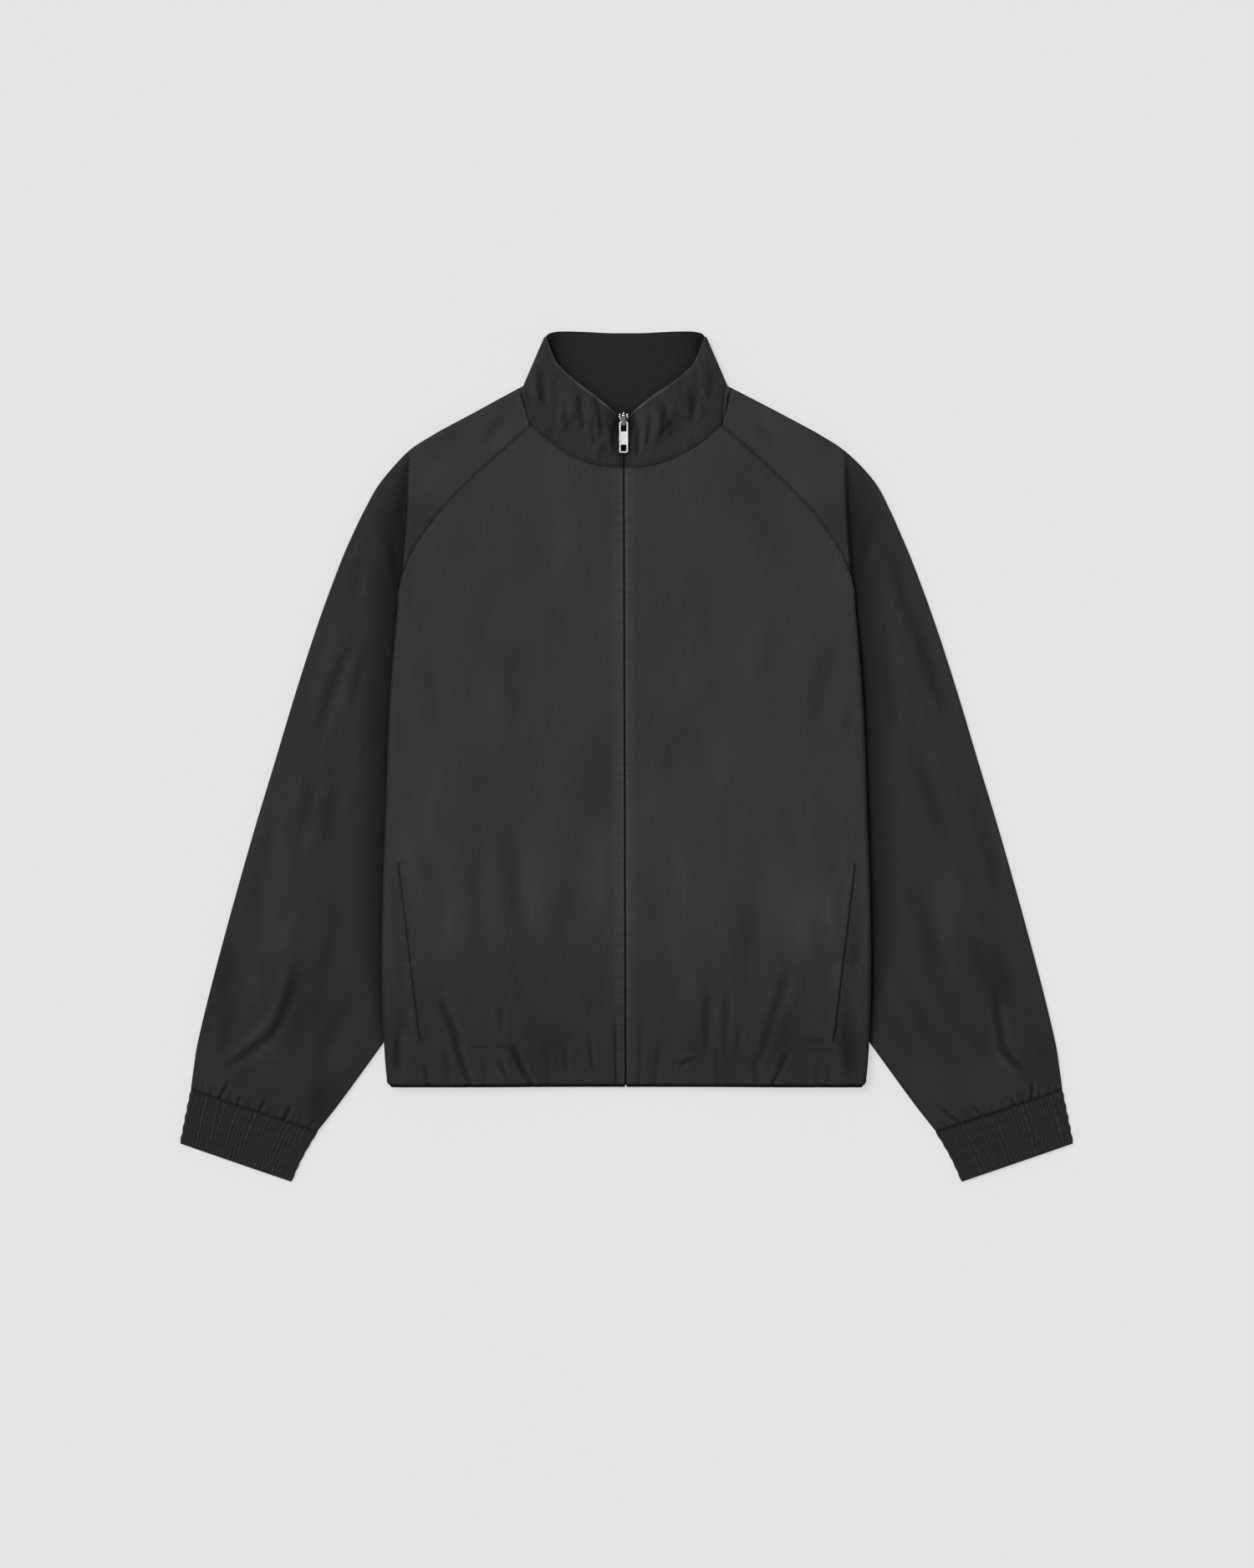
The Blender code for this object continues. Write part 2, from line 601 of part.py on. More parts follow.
def ring_mesh(outer, inner):
    """A closed tube wall through two stacks of rings, open at both ends."""
    rows, count = outer.shape[:2]
    points = np.concatenate((outer.reshape(-1, 3), inner.reshape(-1, 3)))
    out = np.arange(rows * count).reshape(rows, count)
    within = out + rows * count
    after = np.roll(np.arange(count), -1)
    faces = [(out[:-1], out[:-1][:, after], out[1:][:, after], out[1:]),
             (within[1:], within[1:][:, after], within[:-1][:, after], within[:-1]),
             (out[0][after], out[0], within[0], within[0][after]),
             (out[-1], out[-1][after], within[-1][after], within[-1])]
    quads = np.concatenate([np.stack([np.ravel(c) for c in four], axis=1) for four in faces])
    mesh = bpy.data.meshes.new("ring")
    mesh.from_pydata((points * MM).tolist(), [], quads.tolist())
    mesh.update()
    work = bmesh.new()
    work.from_mesh(mesh)
    bmesh.ops.recalc_face_normals(work, faces=work.faces)
    work.to_mesh(mesh)
    work.free()
    return mesh


def cuff(side, name, made, collection):
    """Rib-knit cuff: a flattened tube with ribs on the outside of its upper wall."""
    (ix0, iy0), (ox0, oy0) = CUFF_SEAM
    (ix1, iy1), (ox1, oy1) = CUFF_END
    across = unit(ox0 - ix0, oy0 - iy0)
    down = (across[1], -across[0])
    turn_steps = 4
    radius = (CUFF_HIGH - layer(0)) / 2
    top_part = np.linspace(0.0, 1.0, 2 * RIBS + 1)
    low_part = np.linspace(1.0, 0.0, 8)
    outer, inner = [], []
    for t in np.linspace(0.0, 1.0, 3):
        bow = math.sin(math.pi * t)
        ix, iy = blend(ix0, ix1, t) - CUFF_BOW[0] * bow, blend(iy0, iy1, t)
        ox, oy = blend(ox0, ox1, t) + CUFF_BOW[1] * bow, blend(oy0, oy1, t)
        width = math.hypot(ox - ix, oy - iy)
        crest = RIB_HIGH * (1.0 - np.cos(2 * math.pi * RIBS * top_part)) / 2
        swell = CUFF_SWELL * np.sin(math.pi * top_part)
        angle = np.linspace(math.pi / 2, -math.pi / 2, turn_steps + 1)[1:-1]
        for ring, half, ribs in ((outer, WALL / 2, crest), (inner, -WALL / 2, 0.0)):
            r = radius + half
            run = np.concatenate((radius + (width - 2 * radius) * top_part,
                                  width - radius + r * np.cos(angle),
                                  radius + (width - 2 * radius) * low_part,
                                  radius - r * np.cos(angle[::-1])))
            z = np.concatenate((layer(0) + radius + r + swell + ribs,
                                layer(0) + radius + r * np.sin(angle),
                                np.full(8, layer(0) + radius - r),
                                layer(0) + radius + r * np.sin(angle[::-1])))
            ring.append(np.stack([blend(ix, ox, run / width), blend(iy, oy, run / width), z], axis=1))
    outer, inner = np.array(outer), np.array(inner)
    nudge = np.array([down[0], down[1], 0.0]) * SEAM_GAP / 2
    outer[0] += nudge
    inner[0] += nudge
    if side < 0:
        outer, inner = mirror_x(outer), mirror_x(inner)
    return add(name, ring_mesh(outer, inner), made, collection)


def pocket_welt(side, name, made, collection):
    """A stitched strip on the front panel, on the centre side of the pocket slit."""
    part = np.linspace(0.0, 1.0, 9)[:, None]
    across = np.linspace(0.0, WELT_WIDTH, 3)[None, :]
    x = blend(POCKET_TOP[0], POCKET_LOW[0], part) - across
    y = blend(POCKET_TOP[1], POCKET_LOW[1], part) + 0.0 * across
    rows = FOLDS_PLUS_X if side > 0 else FOLDS_MINUS_X
    on_front = front_height(x, y) + folds(rows, x, y) + WALL / 2
    z = on_front + AIR + WELT_WALL / 2
    points = np.stack([x, y, z], axis=2)
    return cloth(name, points if side > 0 else mirror_x(points), made, collection, WELT_WALL)


# ---------------------------------------------------------------- the zip
def block(x, y, z, rounding=0.0):
    """A box mesh from its three spans."""
    work = bmesh.new()
    bmesh.ops.create_cube(work, size=1.0)
    for corner in work.verts:
        corner.co = [blend(low, high, place + 0.5) * MM
                     for place, (low, high) in zip(corner.co, (x, y, z))]
    if rounding:
        bmesh.ops.bevel(work, geom=work.edges, offset=rounding * MM, segments=2, affect="EDGES",
                        profile=0.5, clamp_overlap=True)
    mesh = bpy.data.meshes.new("block")
    work.to_mesh(mesh)
    work.free()
    return mesh


def join(piece, cutters, *meshes):
    """Boolean union of more blocks into a piece."""
    for number, mesh in enumerate(meshes):
        other = bpy.data.objects.new(f"{piece.name}_join_{number}", mesh)
        other.hide_render = True
        other.display_type = "WIRE"
        cutters.objects.link(other)
        union = piece.modifiers.new("Join", "BOOLEAN")
        union.operation = "UNION"
        union.object = other


def zip_tape(made, collection, cutters):
    """Both tapes and the closed chain between them, as one strip with a low ridge."""
    chain_top = PULL_HINGE_Y - SLIDER_HALF_Y - CHAIN_UNDER_SLIDER
    tape = block((-TAPE_HALF, TAPE_HALF), (HEM_Y + 0.5, ZIP_TOP_Y), (TAPE_LOW, TAPE_HIGH))
    chain = block((-CHAIN_HALF, CHAIN_HALF), (HEM_Y + 0.5, chain_top), (TAPE_HIGH - 0.5, CHAIN_HIGH))
    for mesh in (tape, chain):
        for corner in mesh.vertices:
            corner.co.x += float(zip_x(corner.co.y / MM)) * MM
    piece = add("zip_tape", tape, made, collection)
    join(piece, cutters, chain)
    return piece


def zip_slider(made, collection, cutters):
    """Slider body, with the bridge that the pull tab hangs on."""
    x, y = float(zip_x(PULL_HINGE_Y)), PULL_HINGE_Y
    body = block((x - SLIDER_HALF_X, x + SLIDER_HALF_X), (y - SLIDER_HALF_Y, y + SLIDER_HALF_Y),
                 (SLIDER_LOW, SLIDER_HIGH), 0.8)
    across = (x - BRIDGE_HALF_X, x + BRIDGE_HALF_X)
    tall = (SLIDER_HIGH - 0.8, BRIDGE_LOW + 0.6)
    inner = BRIDGE_HALF_Y - BRIDGE_LEG
    legs = [block(across, span, tall)
            for span in ((y - BRIDGE_HALF_Y, y - inner), (y + inner, y + BRIDGE_HALF_Y))]
    top = block(across, (y - BRIDGE_HALF_Y, y + BRIDGE_HALF_Y), (BRIDGE_LOW, BRIDGE_HIGH), 0.3)
    piece = add("zip_slider", body, made, collection)
    join(piece, cutters, *legs, top)
    return piece


def rounded(points, x, y, half_x, half_y, corner, steps=4):
    """Add a rounded rectangle to a 2D curve as a closed spline."""
    places = []
    for quarter, (sx, sy) in enumerate(((1, 1), (-1, 1), (-1, -1), (1, -1))):
        for step in range(steps + 1):
            angle = math.radians(90 * (quarter + step / steps))
            places.append((x + sx * (half_x - corner) + corner * math.cos(angle),
                           y + sy * (half_y - corner) + corner * math.sin(angle)))
    spline = points.splines.new("POLY")
    spline.points.add(len(places) - 1)
    for point, (px, py) in zip(spline.points, places):
        point.co = (px * MM, py * MM, 0.0, 1.0)
    spline.use_cyclic_u = True


def zip_pull(made, collection):
    """Slotted pull tab, its origin on the hinge; it lies flat, pointing at the hem."""
    outline = bpy.data.curves.new("zip_pull", "CURVE")
    outline.dimensions = "2D"
    outline.fill_mode = "BOTH"
    outline.extrude = PULL_THICK / 2 * MM
    rounded(outline, 0.0, -13.75, PULL_WIDTH / 2, 14.45, 2.0)
    rounded(outline, 0.0, -4.7, 2.5, 4.0, 1.0)
    rounded(outline, 0.0, -23.6, 2.3, 2.6, 1.0)
    flat = bpy.data.objects.new("zip_pull_outline", outline)
    collection.objects.link(flat)
    bpy.context.view_layer.update()
    mesh = bpy.data.meshes.new_from_object(flat.evaluated_get(bpy.context.evaluated_depsgraph_get()))
    bpy.data.objects.remove(flat)
    work = bmesh.new()
    work.from_mesh(mesh)
    bmesh.ops.remove_doubles(work, verts=work.verts, dist=0.01 * MM)
    work.to_mesh(mesh)
    work.free()
    mesh.materials.clear()
    piece = add("zip_pull", mesh, made, collection)
    piece.location = (float(zip_x(PULL_HINGE_Y)) * MM, PULL_HINGE_Y * MM, PULL_HINGE_Z * MM)
    return piece


def main():
    for old in list(bpy.data.objects):
        bpy.data.objects.remove(old)
    jacket = bpy.data.collections.new("track_jacket")
    cutters = bpy.data.collections.new("cutters")
    for collection in (jacket, cutters):
        bpy.context.scene.collection.children.link(collection)

    back(material("back cloth", CLOTH, 0.75), jacket)
    for side, word in ((1, "left"), (-1, "right")):
        front(side, f"front_{word}", material(f"front {word} cloth", CLOTH, 0.75), jacket)
        sleeve(side, f"sleeve_{word}", material(f"sleeve {word} cloth", CLOTH, 0.75), jacket)
        cuff(side, f"cuff_{word}", material(f"cuff {word} rib knit", RIB_KNIT, 0.9), jacket)
        pocket_welt(side, f"pocket_welt_{word}", material(f"welt {word} cloth", CLOTH, 0.75), jacket)
    collar(material("collar cloth", CLOTH, 0.75), jacket)
    zip_tape(material("zip tape", TAPE, 0.8), jacket, cutters)
    zip_slider(material("slider metal", SILVER, 0.35, 0.9), jacket, cutters)
    zip_pull(material("pull metal", SILVER, 0.35, 0.9), jacket)


main()
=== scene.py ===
import math

import bmesh
import bpy
import numpy as np
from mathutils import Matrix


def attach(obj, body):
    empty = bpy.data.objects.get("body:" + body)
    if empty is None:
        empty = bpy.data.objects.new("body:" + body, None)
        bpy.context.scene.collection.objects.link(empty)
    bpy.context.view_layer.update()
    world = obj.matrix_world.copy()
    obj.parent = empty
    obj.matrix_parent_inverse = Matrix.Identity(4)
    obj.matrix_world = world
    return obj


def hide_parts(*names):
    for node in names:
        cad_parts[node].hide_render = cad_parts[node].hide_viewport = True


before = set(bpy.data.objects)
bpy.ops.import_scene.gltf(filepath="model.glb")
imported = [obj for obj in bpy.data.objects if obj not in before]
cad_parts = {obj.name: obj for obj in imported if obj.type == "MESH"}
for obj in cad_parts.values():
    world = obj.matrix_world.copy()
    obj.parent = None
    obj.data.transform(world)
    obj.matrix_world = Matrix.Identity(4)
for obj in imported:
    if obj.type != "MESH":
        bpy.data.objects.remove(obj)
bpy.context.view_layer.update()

# All sizes below are millimetres in the frame's own place: X across, with the wearer's left at +X,
# Y from hem to collar, Z up from the floor. mm turns them into metres when a mesh is made.
mm = 0.001


# Small helpers
def rowsOf(columns, *rows):  # a small table, as one array for each named column
    return dict(zip(columns.split(), np.array(rows, dtype=float).T))


def ease(t):  # smooth step from 0 to 1
    t = np.clip(t, 0.0, 1.0)
    return t * t * (3.0 - 2.0 * t)


def blend(a, b, t):
    return a + (b - a) * t


def hump(t):  # bell curve, 1 in the middle
    return np.exp(-np.square(t))


def through(xs, ys, at):  # cubic Hermite curve through the rows, slopes averaged from their neighbours
    slopes = np.gradient(ys, xs)
    at = np.clip(at, xs[0], xs[-1])
    i = np.clip(np.searchsorted(xs, at) - 1, 0, len(xs) - 2)
    h = xs[i + 1] - xs[i]
    t = (at - xs[i]) / h
    rise = ys[i] + (ys[i + 1] - ys[i]) * t * t * (3.0 - 2.0 * t)
    return rise + h * (slopes[i] * t * (1.0 - t) ** 2 - slopes[i + 1] * t * t * (1.0 - t))


def lengthRun(x, y):  # length run so far at each point of a line
    return np.concatenate(([0.0], np.cumsum(np.hypot(np.diff(x), np.diff(y)))))


def runAlong(line):  # the same for a line of 3-D points
    return np.concatenate(([0.0], np.cumsum(np.linalg.norm(np.diff(line, axis=0), axis=1))))


def unitOf(v):
    return v / np.linalg.norm(v, axis=-1, keepdims=True)


def normalsOf(points):  # cross product of a grid's two directions
    return unitOf(np.cross(np.gradient(points, axis=1), np.gradient(points, axis=0)))


# How the jacket lies
lie = {
    "hemY": -307.3,
    "armpitY": 166.5,
    "floorLayer": 0.75,    # middle height of cloth on the floor
    "tuckedLayer": 2.65,   # of the sleeve's upper wall beside the body
    "underLayer": 4.55,    # of the front where it has turned under its side
    "liftedLayer": 6.45,   # of the back where it rides over the sleeves
    "frontLayer": 5.95,    # of the front in the middle of the body
    "sideRise": 5.7,       # how much higher the front is over the tucked sleeves
    "riseFrom": 40.0,
    "riseTo": 158.0,
    "zipHem": -0.7,        # the zip runs slightly askew
    "zipTop": -2.7,
    "zipTopY": 320.0,
    "edgeFromZip": 0.75,   # from the zip's middle to each front's edge
    "neckLean": -1.1,      # the collar leans this far off the middle
    "shoulderLean": 1.1,   # and the shoulders this far the other way
    "neckLowY": 270.0,     # where the neck seam meets the zip
    "neckRise": 40.0,      # how far it climbs to the raglan seam
    "neckPower": 2.3,      # and how it curves
    "neckX": 88.0,         # where it ends
    "backDrop": 9.0,       # how far the back neck dips in its middle
    "footX": 94.6,         # half the neck's width at the shoulder
    "cuffLayer": 3.5,      # the upper wall where the sleeve meets the cuff
}

sideEdge = rowsOf(
    "y x",
    (-307.3, 219.5), (-304.5, 222.4), (-299.0, 223.3), (-285.0, 224.7), (-267.0, 225.8),
    (-248.0, 226.7), (-134.0, 227.0), (-48.0, 224.0), (55.0, 220.0), (112.0, 215.7),
    (166.5, 210.3), (200.0, 207.5), (237.0, 205.0), (278.0, 204.0))

underarm = rowsOf(
    "y x",
    (-350.3, 289.0), (-306.6, 255.5), (-266.0, 226.0), (-225.0, 196.0), (-170.0, 168.0),
    (-100.0, 150.0), (-30.0, 146.0), (20.0, 149.0), (60.0, 156.0), (97.0, 166.0))

# Lines across the sleeve, neck to cuff: front seam or underarm, outer edge, back seam or underarm
sleeveLines = rowsOf(
    "frontX frontY outerX outerY backX backY",
    (88.0, 310.0, 94.6, 345.8, 72.0, 342.2),
    (98.5, 300.8, 118.0, 333.5, 84.5, 322.0),
    (118.0, 283.5, 151.8, 315.5, 103.0, 297.0),
    (134.8, 268.6, 166.0, 307.9, 112.2, 283.6),
    (151.0, 253.0, 180.3, 299.9, 121.0, 270.0),
    (171.0, 232.0, 204.5, 283.9, 137.0, 243.0),
    (190.7, 206.0, 230.3, 256.0, 151.0, 213.0),
    (201.6, 187.6, 245.2, 229.5, 159.5, 188.0),
    (210.3, 166.5, 256.8, 204.5, 165.0, 165.0),
    (203.0, 150.0, 264.6, 186.5, 166.0, 147.0),
    (182.0, 121.0, 274.6, 160.5, 164.0, 121.0),
    (166.0, 97.0, 285.0, 132.0, 161.0, 97.0),
    (156.0, 60.0, 297.6, 94.5, 156.0, 60.0),
    (149.0, 20.0, 311.6, 50.0, 149.0, 20.0),
    (146.0, -30.0, 328.5, -6.5, 146.0, -30.0),
    (150.0, -100.0, 347.4, -69.0, 150.0, -100.0),
    (168.0, -170.0, 366.7, -137.0, 168.0, -170.0),
    (196.0, -225.0, 381.6, -192.0, 196.0, -225.0),
    (226.0, -266.0, 391.9, -232.0, 226.0, -266.0),
    (255.5, -306.6, 400.5, -269.0, 255.5, -306.6),
    (272.0, -328.8, 403.8, -290.0, 272.0, -328.8),
    (289.0, -350.3, 406.6, -311.0, 289.0, -350.3))
frontSeamRow, backSeamRow = 8, 11  # the last rows that end on the raglan seams


def askew(points):  # the small lean of neck and shoulders, added to X
    x, y = points[..., 0], points[..., 1]
    neck = lie["neckLean"] * ease((y - 318.0) / 28.0)
    shoulder = lie["shoulderLean"] * ease((np.abs(x) - 195.0) / 30.0) * hump((y - 262.0) / 42.0)
    leaned = points.copy()
    leaned[..., 0] = x + neck + shoulder
    return leaned


def zipX(y):  # straight line from hem to zip top
    return blend(lie["zipHem"], lie["zipTop"], (y - lie["hemY"]) / (lie["zipTopY"] - lie["hemY"]))


def neckSeam(part, side):  # power curve from the zip (0) up to the raglan seam (1)
    y = lie["neckLowY"] + lie["neckRise"] * part ** lie["neckPower"]
    x0 = side * zipX(y) + lie["edgeFromZip"]
    return x0 + (lie["neckX"] - x0) * part, y


def frontHeight(x, y):  # level in the middle, eased up towards the sides where the sleeves lie under
    overSleeves = ease((218.0 - y) / 158.0)
    out = ease((np.abs(x) - lie["riseFrom"]) / (lie["riseTo"] - lie["riseFrom"]))
    return lie["frontLayer"] + lie["sideRise"] * overSleeves * out


def backHeight(x, y):  # on the floor, eased up over the sleeves below the underarm
    edge = np.minimum(through(underarm["y"], underarm["x"], y), 196.0)
    run = blend(14.0, 100.0, ease((62.0 - y) / 50.0))
    out = ease((np.abs(x) - (edge - 5.0 - run)) / run)
    return blend(lie["floorLayer"], lie["liftedLayer"], out * ease((96.0 - y) / 32.0))


def sleeveHeight(x, y, outerX):
    # low beside the body, swelling like a half sine towards the outer edge; above the armpit the step
    # down along the crease dies away and the cloth comes level with the front panel
    crease = np.maximum(through(sideEdge["y"], sideEdge["x"], y), through(underarm["y"], underarm["x"], y))
    low = 1.0 - ease((y - 215.0) / 80.0)
    valley = blend(lie["frontLayer"], lie["tuckedLayer"], low)
    outer = blend(3.9, lie["frontLayer"], ease((y - 190.0) / 100.0))
    past = np.clip((x - crease - 2.0) / np.maximum(outerX - crease - 2.0, 1.0), 0.0, 1.0)
    swell = 2.6 * low * np.sin(math.pi * past) ** 1.3
    inside = (1.0 - ease((x - crease + 3.0) / 6.0)) * ease((y - 168.0) / 14.0)
    return blend(blend(valley, outer, ease(past)) + swell, lie["frontLayer"], inside)


# Creases
def creases(rows, x, y, ridge=1.0):
    # Each row is a soft trough along a bent line, its depth falling off across it as a bell, with a lower
    # ridge on one side and a fainter one on the other. It fades in at its first end, and at the last
    # one too unless a seam holds it there. ridge is 1 or -1, the side that the main ridge lies on, and
    # a wide below 0 puts it on the other side.
    total = np.zeros(np.broadcast(x, y).shape)
    for x0, y0, x1, y1, wide, deep, bend, held in zip(*rows.values()):
        runX, runY = x1 - x0, y1 - y0
        length = math.hypot(runX, runY)
        part = ((x - x0) * runX + (y - y0) * runY) / length ** 2
        across = ((x - x0) * runY - (y - y0) * runX) / length + bend * 4.0 * part * (1.0 - part)
        fade = ease(part / 0.45) * ease((1.0 + 0.35 * held - part) / 0.3)
        width = wide * (0.75 + 0.5 * (1.0 - np.clip(part, 0.0, 1.0)))
        profile = 0.42 * hump((across + 1.7 * ridge * width) / (1.2 * width)) - hump(across / width)
        total += deep * fade * (profile + 0.2 * hump((across - 1.8 * ridge * width) / (1.4 * width)))
    return total


def shades(rows, x, y):
    # painted shade: each row is a bell along a heading and across it that takes its share off the tone
    total = np.ones(np.broadcast(x, y).shape)
    for atX, atY, long, wide, heading, share in zip(*rows.values()):
        turn = math.radians(heading)
        along = (x - atX) * math.cos(turn) + (y - atY) * math.sin(turn)
        across = (y - atY) * math.cos(turn) - (x - atX) * math.sin(turn)
        total *= 1.0 - share * hump(along / long) * hump(across / wide)
    return total


def dapples(x, y, rows, seed):
    # soft dents and swells of uneven cloth: bells drawn out along a heading, at random places in a box.
    # Each row gives a box, how many, how long and wide, how high, and the heading's angle.
    draw = np.random.default_rng(seed)
    total = np.zeros(np.broadcast(x, y).shape)
    for x0, y0, x1, y1, count, long, wide, high, heading in zip(*rows.values()):
        for _ in range(int(count)):
            turn = math.radians(heading + draw.normal(0.0, 11.0))
            dx, dy = x - draw.uniform(x0, x1), y - draw.uniform(y0, y1)
            along = dx * math.cos(turn) + dy * math.sin(turn)
            across = dy * math.cos(turn) - dx * math.sin(turn) + along ** 2 / 300.0
            reach, breadth = long * draw.uniform(0.6, 1.4), wide * draw.uniform(0.6, 1.5)
            total += high * draw.uniform(-1.0, 1.0) * hump(along / reach) * hump(across / breadth)
    return total


def patchwork(u, v, seed, across, down):  # random values at the corners of a grid, eased in between
    values = np.random.default_rng(seed).uniform(0.0, 1.0, (down + 2, across + 2))
    column, row = np.floor(u * across).astype(int), np.floor(v * down).astype(int)
    a, b = ease(u * across - column), ease(v * down - row)
    upper = blend(values[row, column], values[row, column + 1], a)
    lower = blend(values[row + 1, column], values[row + 1, column + 1], a)
    return blend(upper, lower, b)


def toneOf(relief):  # painted highlight on the relief's ridges and painted shade in its folds and creases
    return np.clip(np.exp(0.42 * relief), 0.42, 1.3)


def placed(u, v, tone=1.0):  # what a point's place says: where it is on the flat cloth, and its tone
    return np.stack(np.broadcast_arrays(u, v, tone), axis=2)


def puckers(along, off, seed, pitch, span, long, high):
    # short ridges at right angles to a stitched line: a bell along the line, faded away from it
    draw = np.random.default_rng(seed)
    total = np.zeros(np.broadcast(along, off).shape)
    place = span[0]
    while place < span[1]:
        wide = draw.uniform(0.22, 0.4) * pitch
        reach = draw.uniform(0.5, 1.0) * long
        tall = draw.uniform(0.3, 1.0) * high
        tilt = draw.uniform(-0.25, 0.25)
        total += tall * hump((along - place - tilt * off) / wide) * (1.0 - ease(np.abs(off) / reach))
        place += pitch * draw.uniform(0.6, 1.7)
    return total


# Meshes
def addPiece(name, points, faces, material, body="jacket", place=None, smooth=50.0):
    mesh = bpy.data.meshes.new(name)
    mesh.from_pydata((points.reshape(-1, 3) * mm).tolist(), [], faces.tolist())
    mesh.update()
    if place is not None:
        place = place.reshape(-1, 3).astype(np.float32)
        corners = np.empty(len(mesh.loops), dtype=np.int32)
        mesh.loops.foreach_get("vertex_index", corners)
        layer = mesh.uv_layers.new(name="cloth")
        layer.data.foreach_set("uv", (place[corners, :2] * np.float32(mm)).ravel())
        tone = mesh.attributes.new("tone", "FLOAT", "POINT")
        tone.data.foreach_set("value", place[:, 2])
    mesh.shade_smooth()
    mesh.set_sharp_from_angle(angle=math.radians(smooth))
    mesh.materials.append(material)
    piece = bpy.data.objects.new(name, mesh)
    bpy.context.scene.collection.objects.link(piece)
    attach(piece, body)
    return piece


def gridFaces(rows, columns, roundU=False, roundV=False):
    # quads over a grid, closed round either way if asked
    number = np.arange(rows * columns).reshape(rows, columns)
    if roundU:
        number = np.concatenate((number, number[:, :1]), axis=1)
    if roundV:
        number = np.concatenate((number, number[:1]), axis=0)
    corners = (number[:-1, :-1], number[:-1, 1:], number[1:, 1:], number[1:, :-1])
    return np.stack([c.ravel() for c in corners], axis=1)


def addCloth(name, points, place, material, wall, inner=None):
    # a sheet through the points, given its wall to both sides; in mirrored grids the rows are turned round
    points = askew(points)
    if normalsOf(points)[len(points) // 3, points.shape[1] // 5, 2] < 0.0:
        points, place = points[:, ::-1], place[:, ::-1]
    piece = addPiece(name, points, gridFaces(*points.shape[:2]), material, place=place)
    solid = piece.modifiers.new("Wall", "SOLIDIFY")
    solid.thickness = wall * mm
    solid.offset = 0.0
    if inner is not None:
        piece.data.materials.append(inner)
        solid.material_offset = 1
    return piece


def mirrored(points, side):
    return points * np.array([float(side), 1.0, 1.0])


def turnedHem(points, place, depth, rows, thick, upward=-1.0):
    # the hem's turned-up layer: the first rows again, set in along the normal, joined by a half circle;
    # upward is 1 where the inside of the cloth faces up
    inward = normalsOf(points)
    inward[..., 1] = 0.0
    inward = unitOf(inward)
    if inward[0, points.shape[1] // 4, 2] * upward < 0.0:
        inward = -inward
    step = max(1, int(depth / abs(points[1, 8, 1] - points[0, 8, 1]) / rows))
    layer = points[:step * rows:step] + inward[:step * rows:step] * thick
    angle = np.linspace(0.0, math.pi, 8)[1:-1, None, None]
    down = np.array([0.0, -1.0, 0.0])
    middle = (points[0] + inward[0] * thick / 2.0)[None]
    turn = middle + (down * np.sin(angle) - inward[:1] * np.cos(angle)) * thick / 2.0
    joined = np.concatenate((layer[::-1], turn[::-1], points))
    around = np.concatenate((place[:step * rows:step][::-1], np.repeat(place[:1], 6, axis=0), place))
    return joined, around


def copiesOf(unitPoints, unitFaces, places, frames):  # one small mesh many times over, turned by each frame
    points = np.einsum("kij,nj->kni", frames, unitPoints) + places[:, None, :]
    faces = unitFaces[None] + (np.arange(len(places)) * len(unitPoints))[:, None, None]
    return points.reshape(-1, 3), faces.reshape(-1, unitFaces.shape[1])


# Shader groups
def putNode(tree, kind, inputs=(), **settings):
    made = tree.nodes.new("ShaderNode" + kind)
    for name, value in settings.items():
        setattr(made, name, value)
    for socket, value in dict(inputs).items():
        if isinstance(value, bpy.types.NodeSocket):
            tree.links.new(value, made.inputs[socket])
        else:
            made.inputs[socket].default_value = value
    return made


def maths(tree, operation, a, b=0.0, clamp=False):
    return putNode(tree, "Math", {0: a, 1: b}, operation=operation, use_clamp=clamp).outputs[0]


def newGroup(name, inputs, outputs):
    group = bpy.data.node_groups.new(name, "ShaderNodeTree")
    for label, kind, value in inputs:
        socket = group.interface.new_socket(name=label, in_out="INPUT", socket_type="NodeSocket" + kind)
        if kind == "Float":
            socket.default_value = value
    for label in outputs:
        group.interface.new_socket(name=label, in_out="OUTPUT", socket_type="NodeSocketFloat")
    return group, group.nodes.new("NodeGroupInput").outputs, group.nodes.new("NodeGroupOutput").inputs


def stretchedNoise(tree, vector, scale, detail=2.0, rough=0.5):
    drawnOut = putNode(tree, "Mapping", {"Vector": vector, "Scale": scale}).outputs[0]
    settings = {"Vector": drawnOut, "Scale": 1.0, "Detail": detail, "Roughness": rough}
    return putNode(tree, "TexNoise", settings).outputs[0]


def weaveGroup():
    # plain weave: crossed sine waves of the thread pitch, with long thin noise both ways for uneven yarn
    takes = [("Place", "Vector", None), ("Pitch", "Float", 0.6)]
    tree, given, out = newGroup("plainWeave", takes, ["Height", "Slub"])
    turns = maths(tree, "DIVIDE", math.pi / mm, given["Pitch"])
    parts = putNode(tree, "SeparateXYZ", {0: given["Place"]}).outputs
    warp = maths(tree, "SINE", maths(tree, "MULTIPLY", parts[0], turns))
    weft = maths(tree, "SINE", maths(tree, "MULTIPLY", parts[1], turns))
    across = stretchedNoise(tree, given["Place"], (70.0, 900.0, 1.0))
    along = stretchedNoise(tree, given["Place"], (1100.0, 60.0, 1.0))
    slub = maths(tree, "ADD", maths(tree, "MULTIPLY", across, 0.6), maths(tree, "MULTIPLY", along, 0.4))
    crossed = maths(tree, "MULTIPLY", warp, weft)
    tree.links.new(maths(tree, "ADD", crossed, maths(tree, "MULTIPLY", slub, 2.5)), out["Height"])
    tree.links.new(slub, out["Slub"])
    return tree


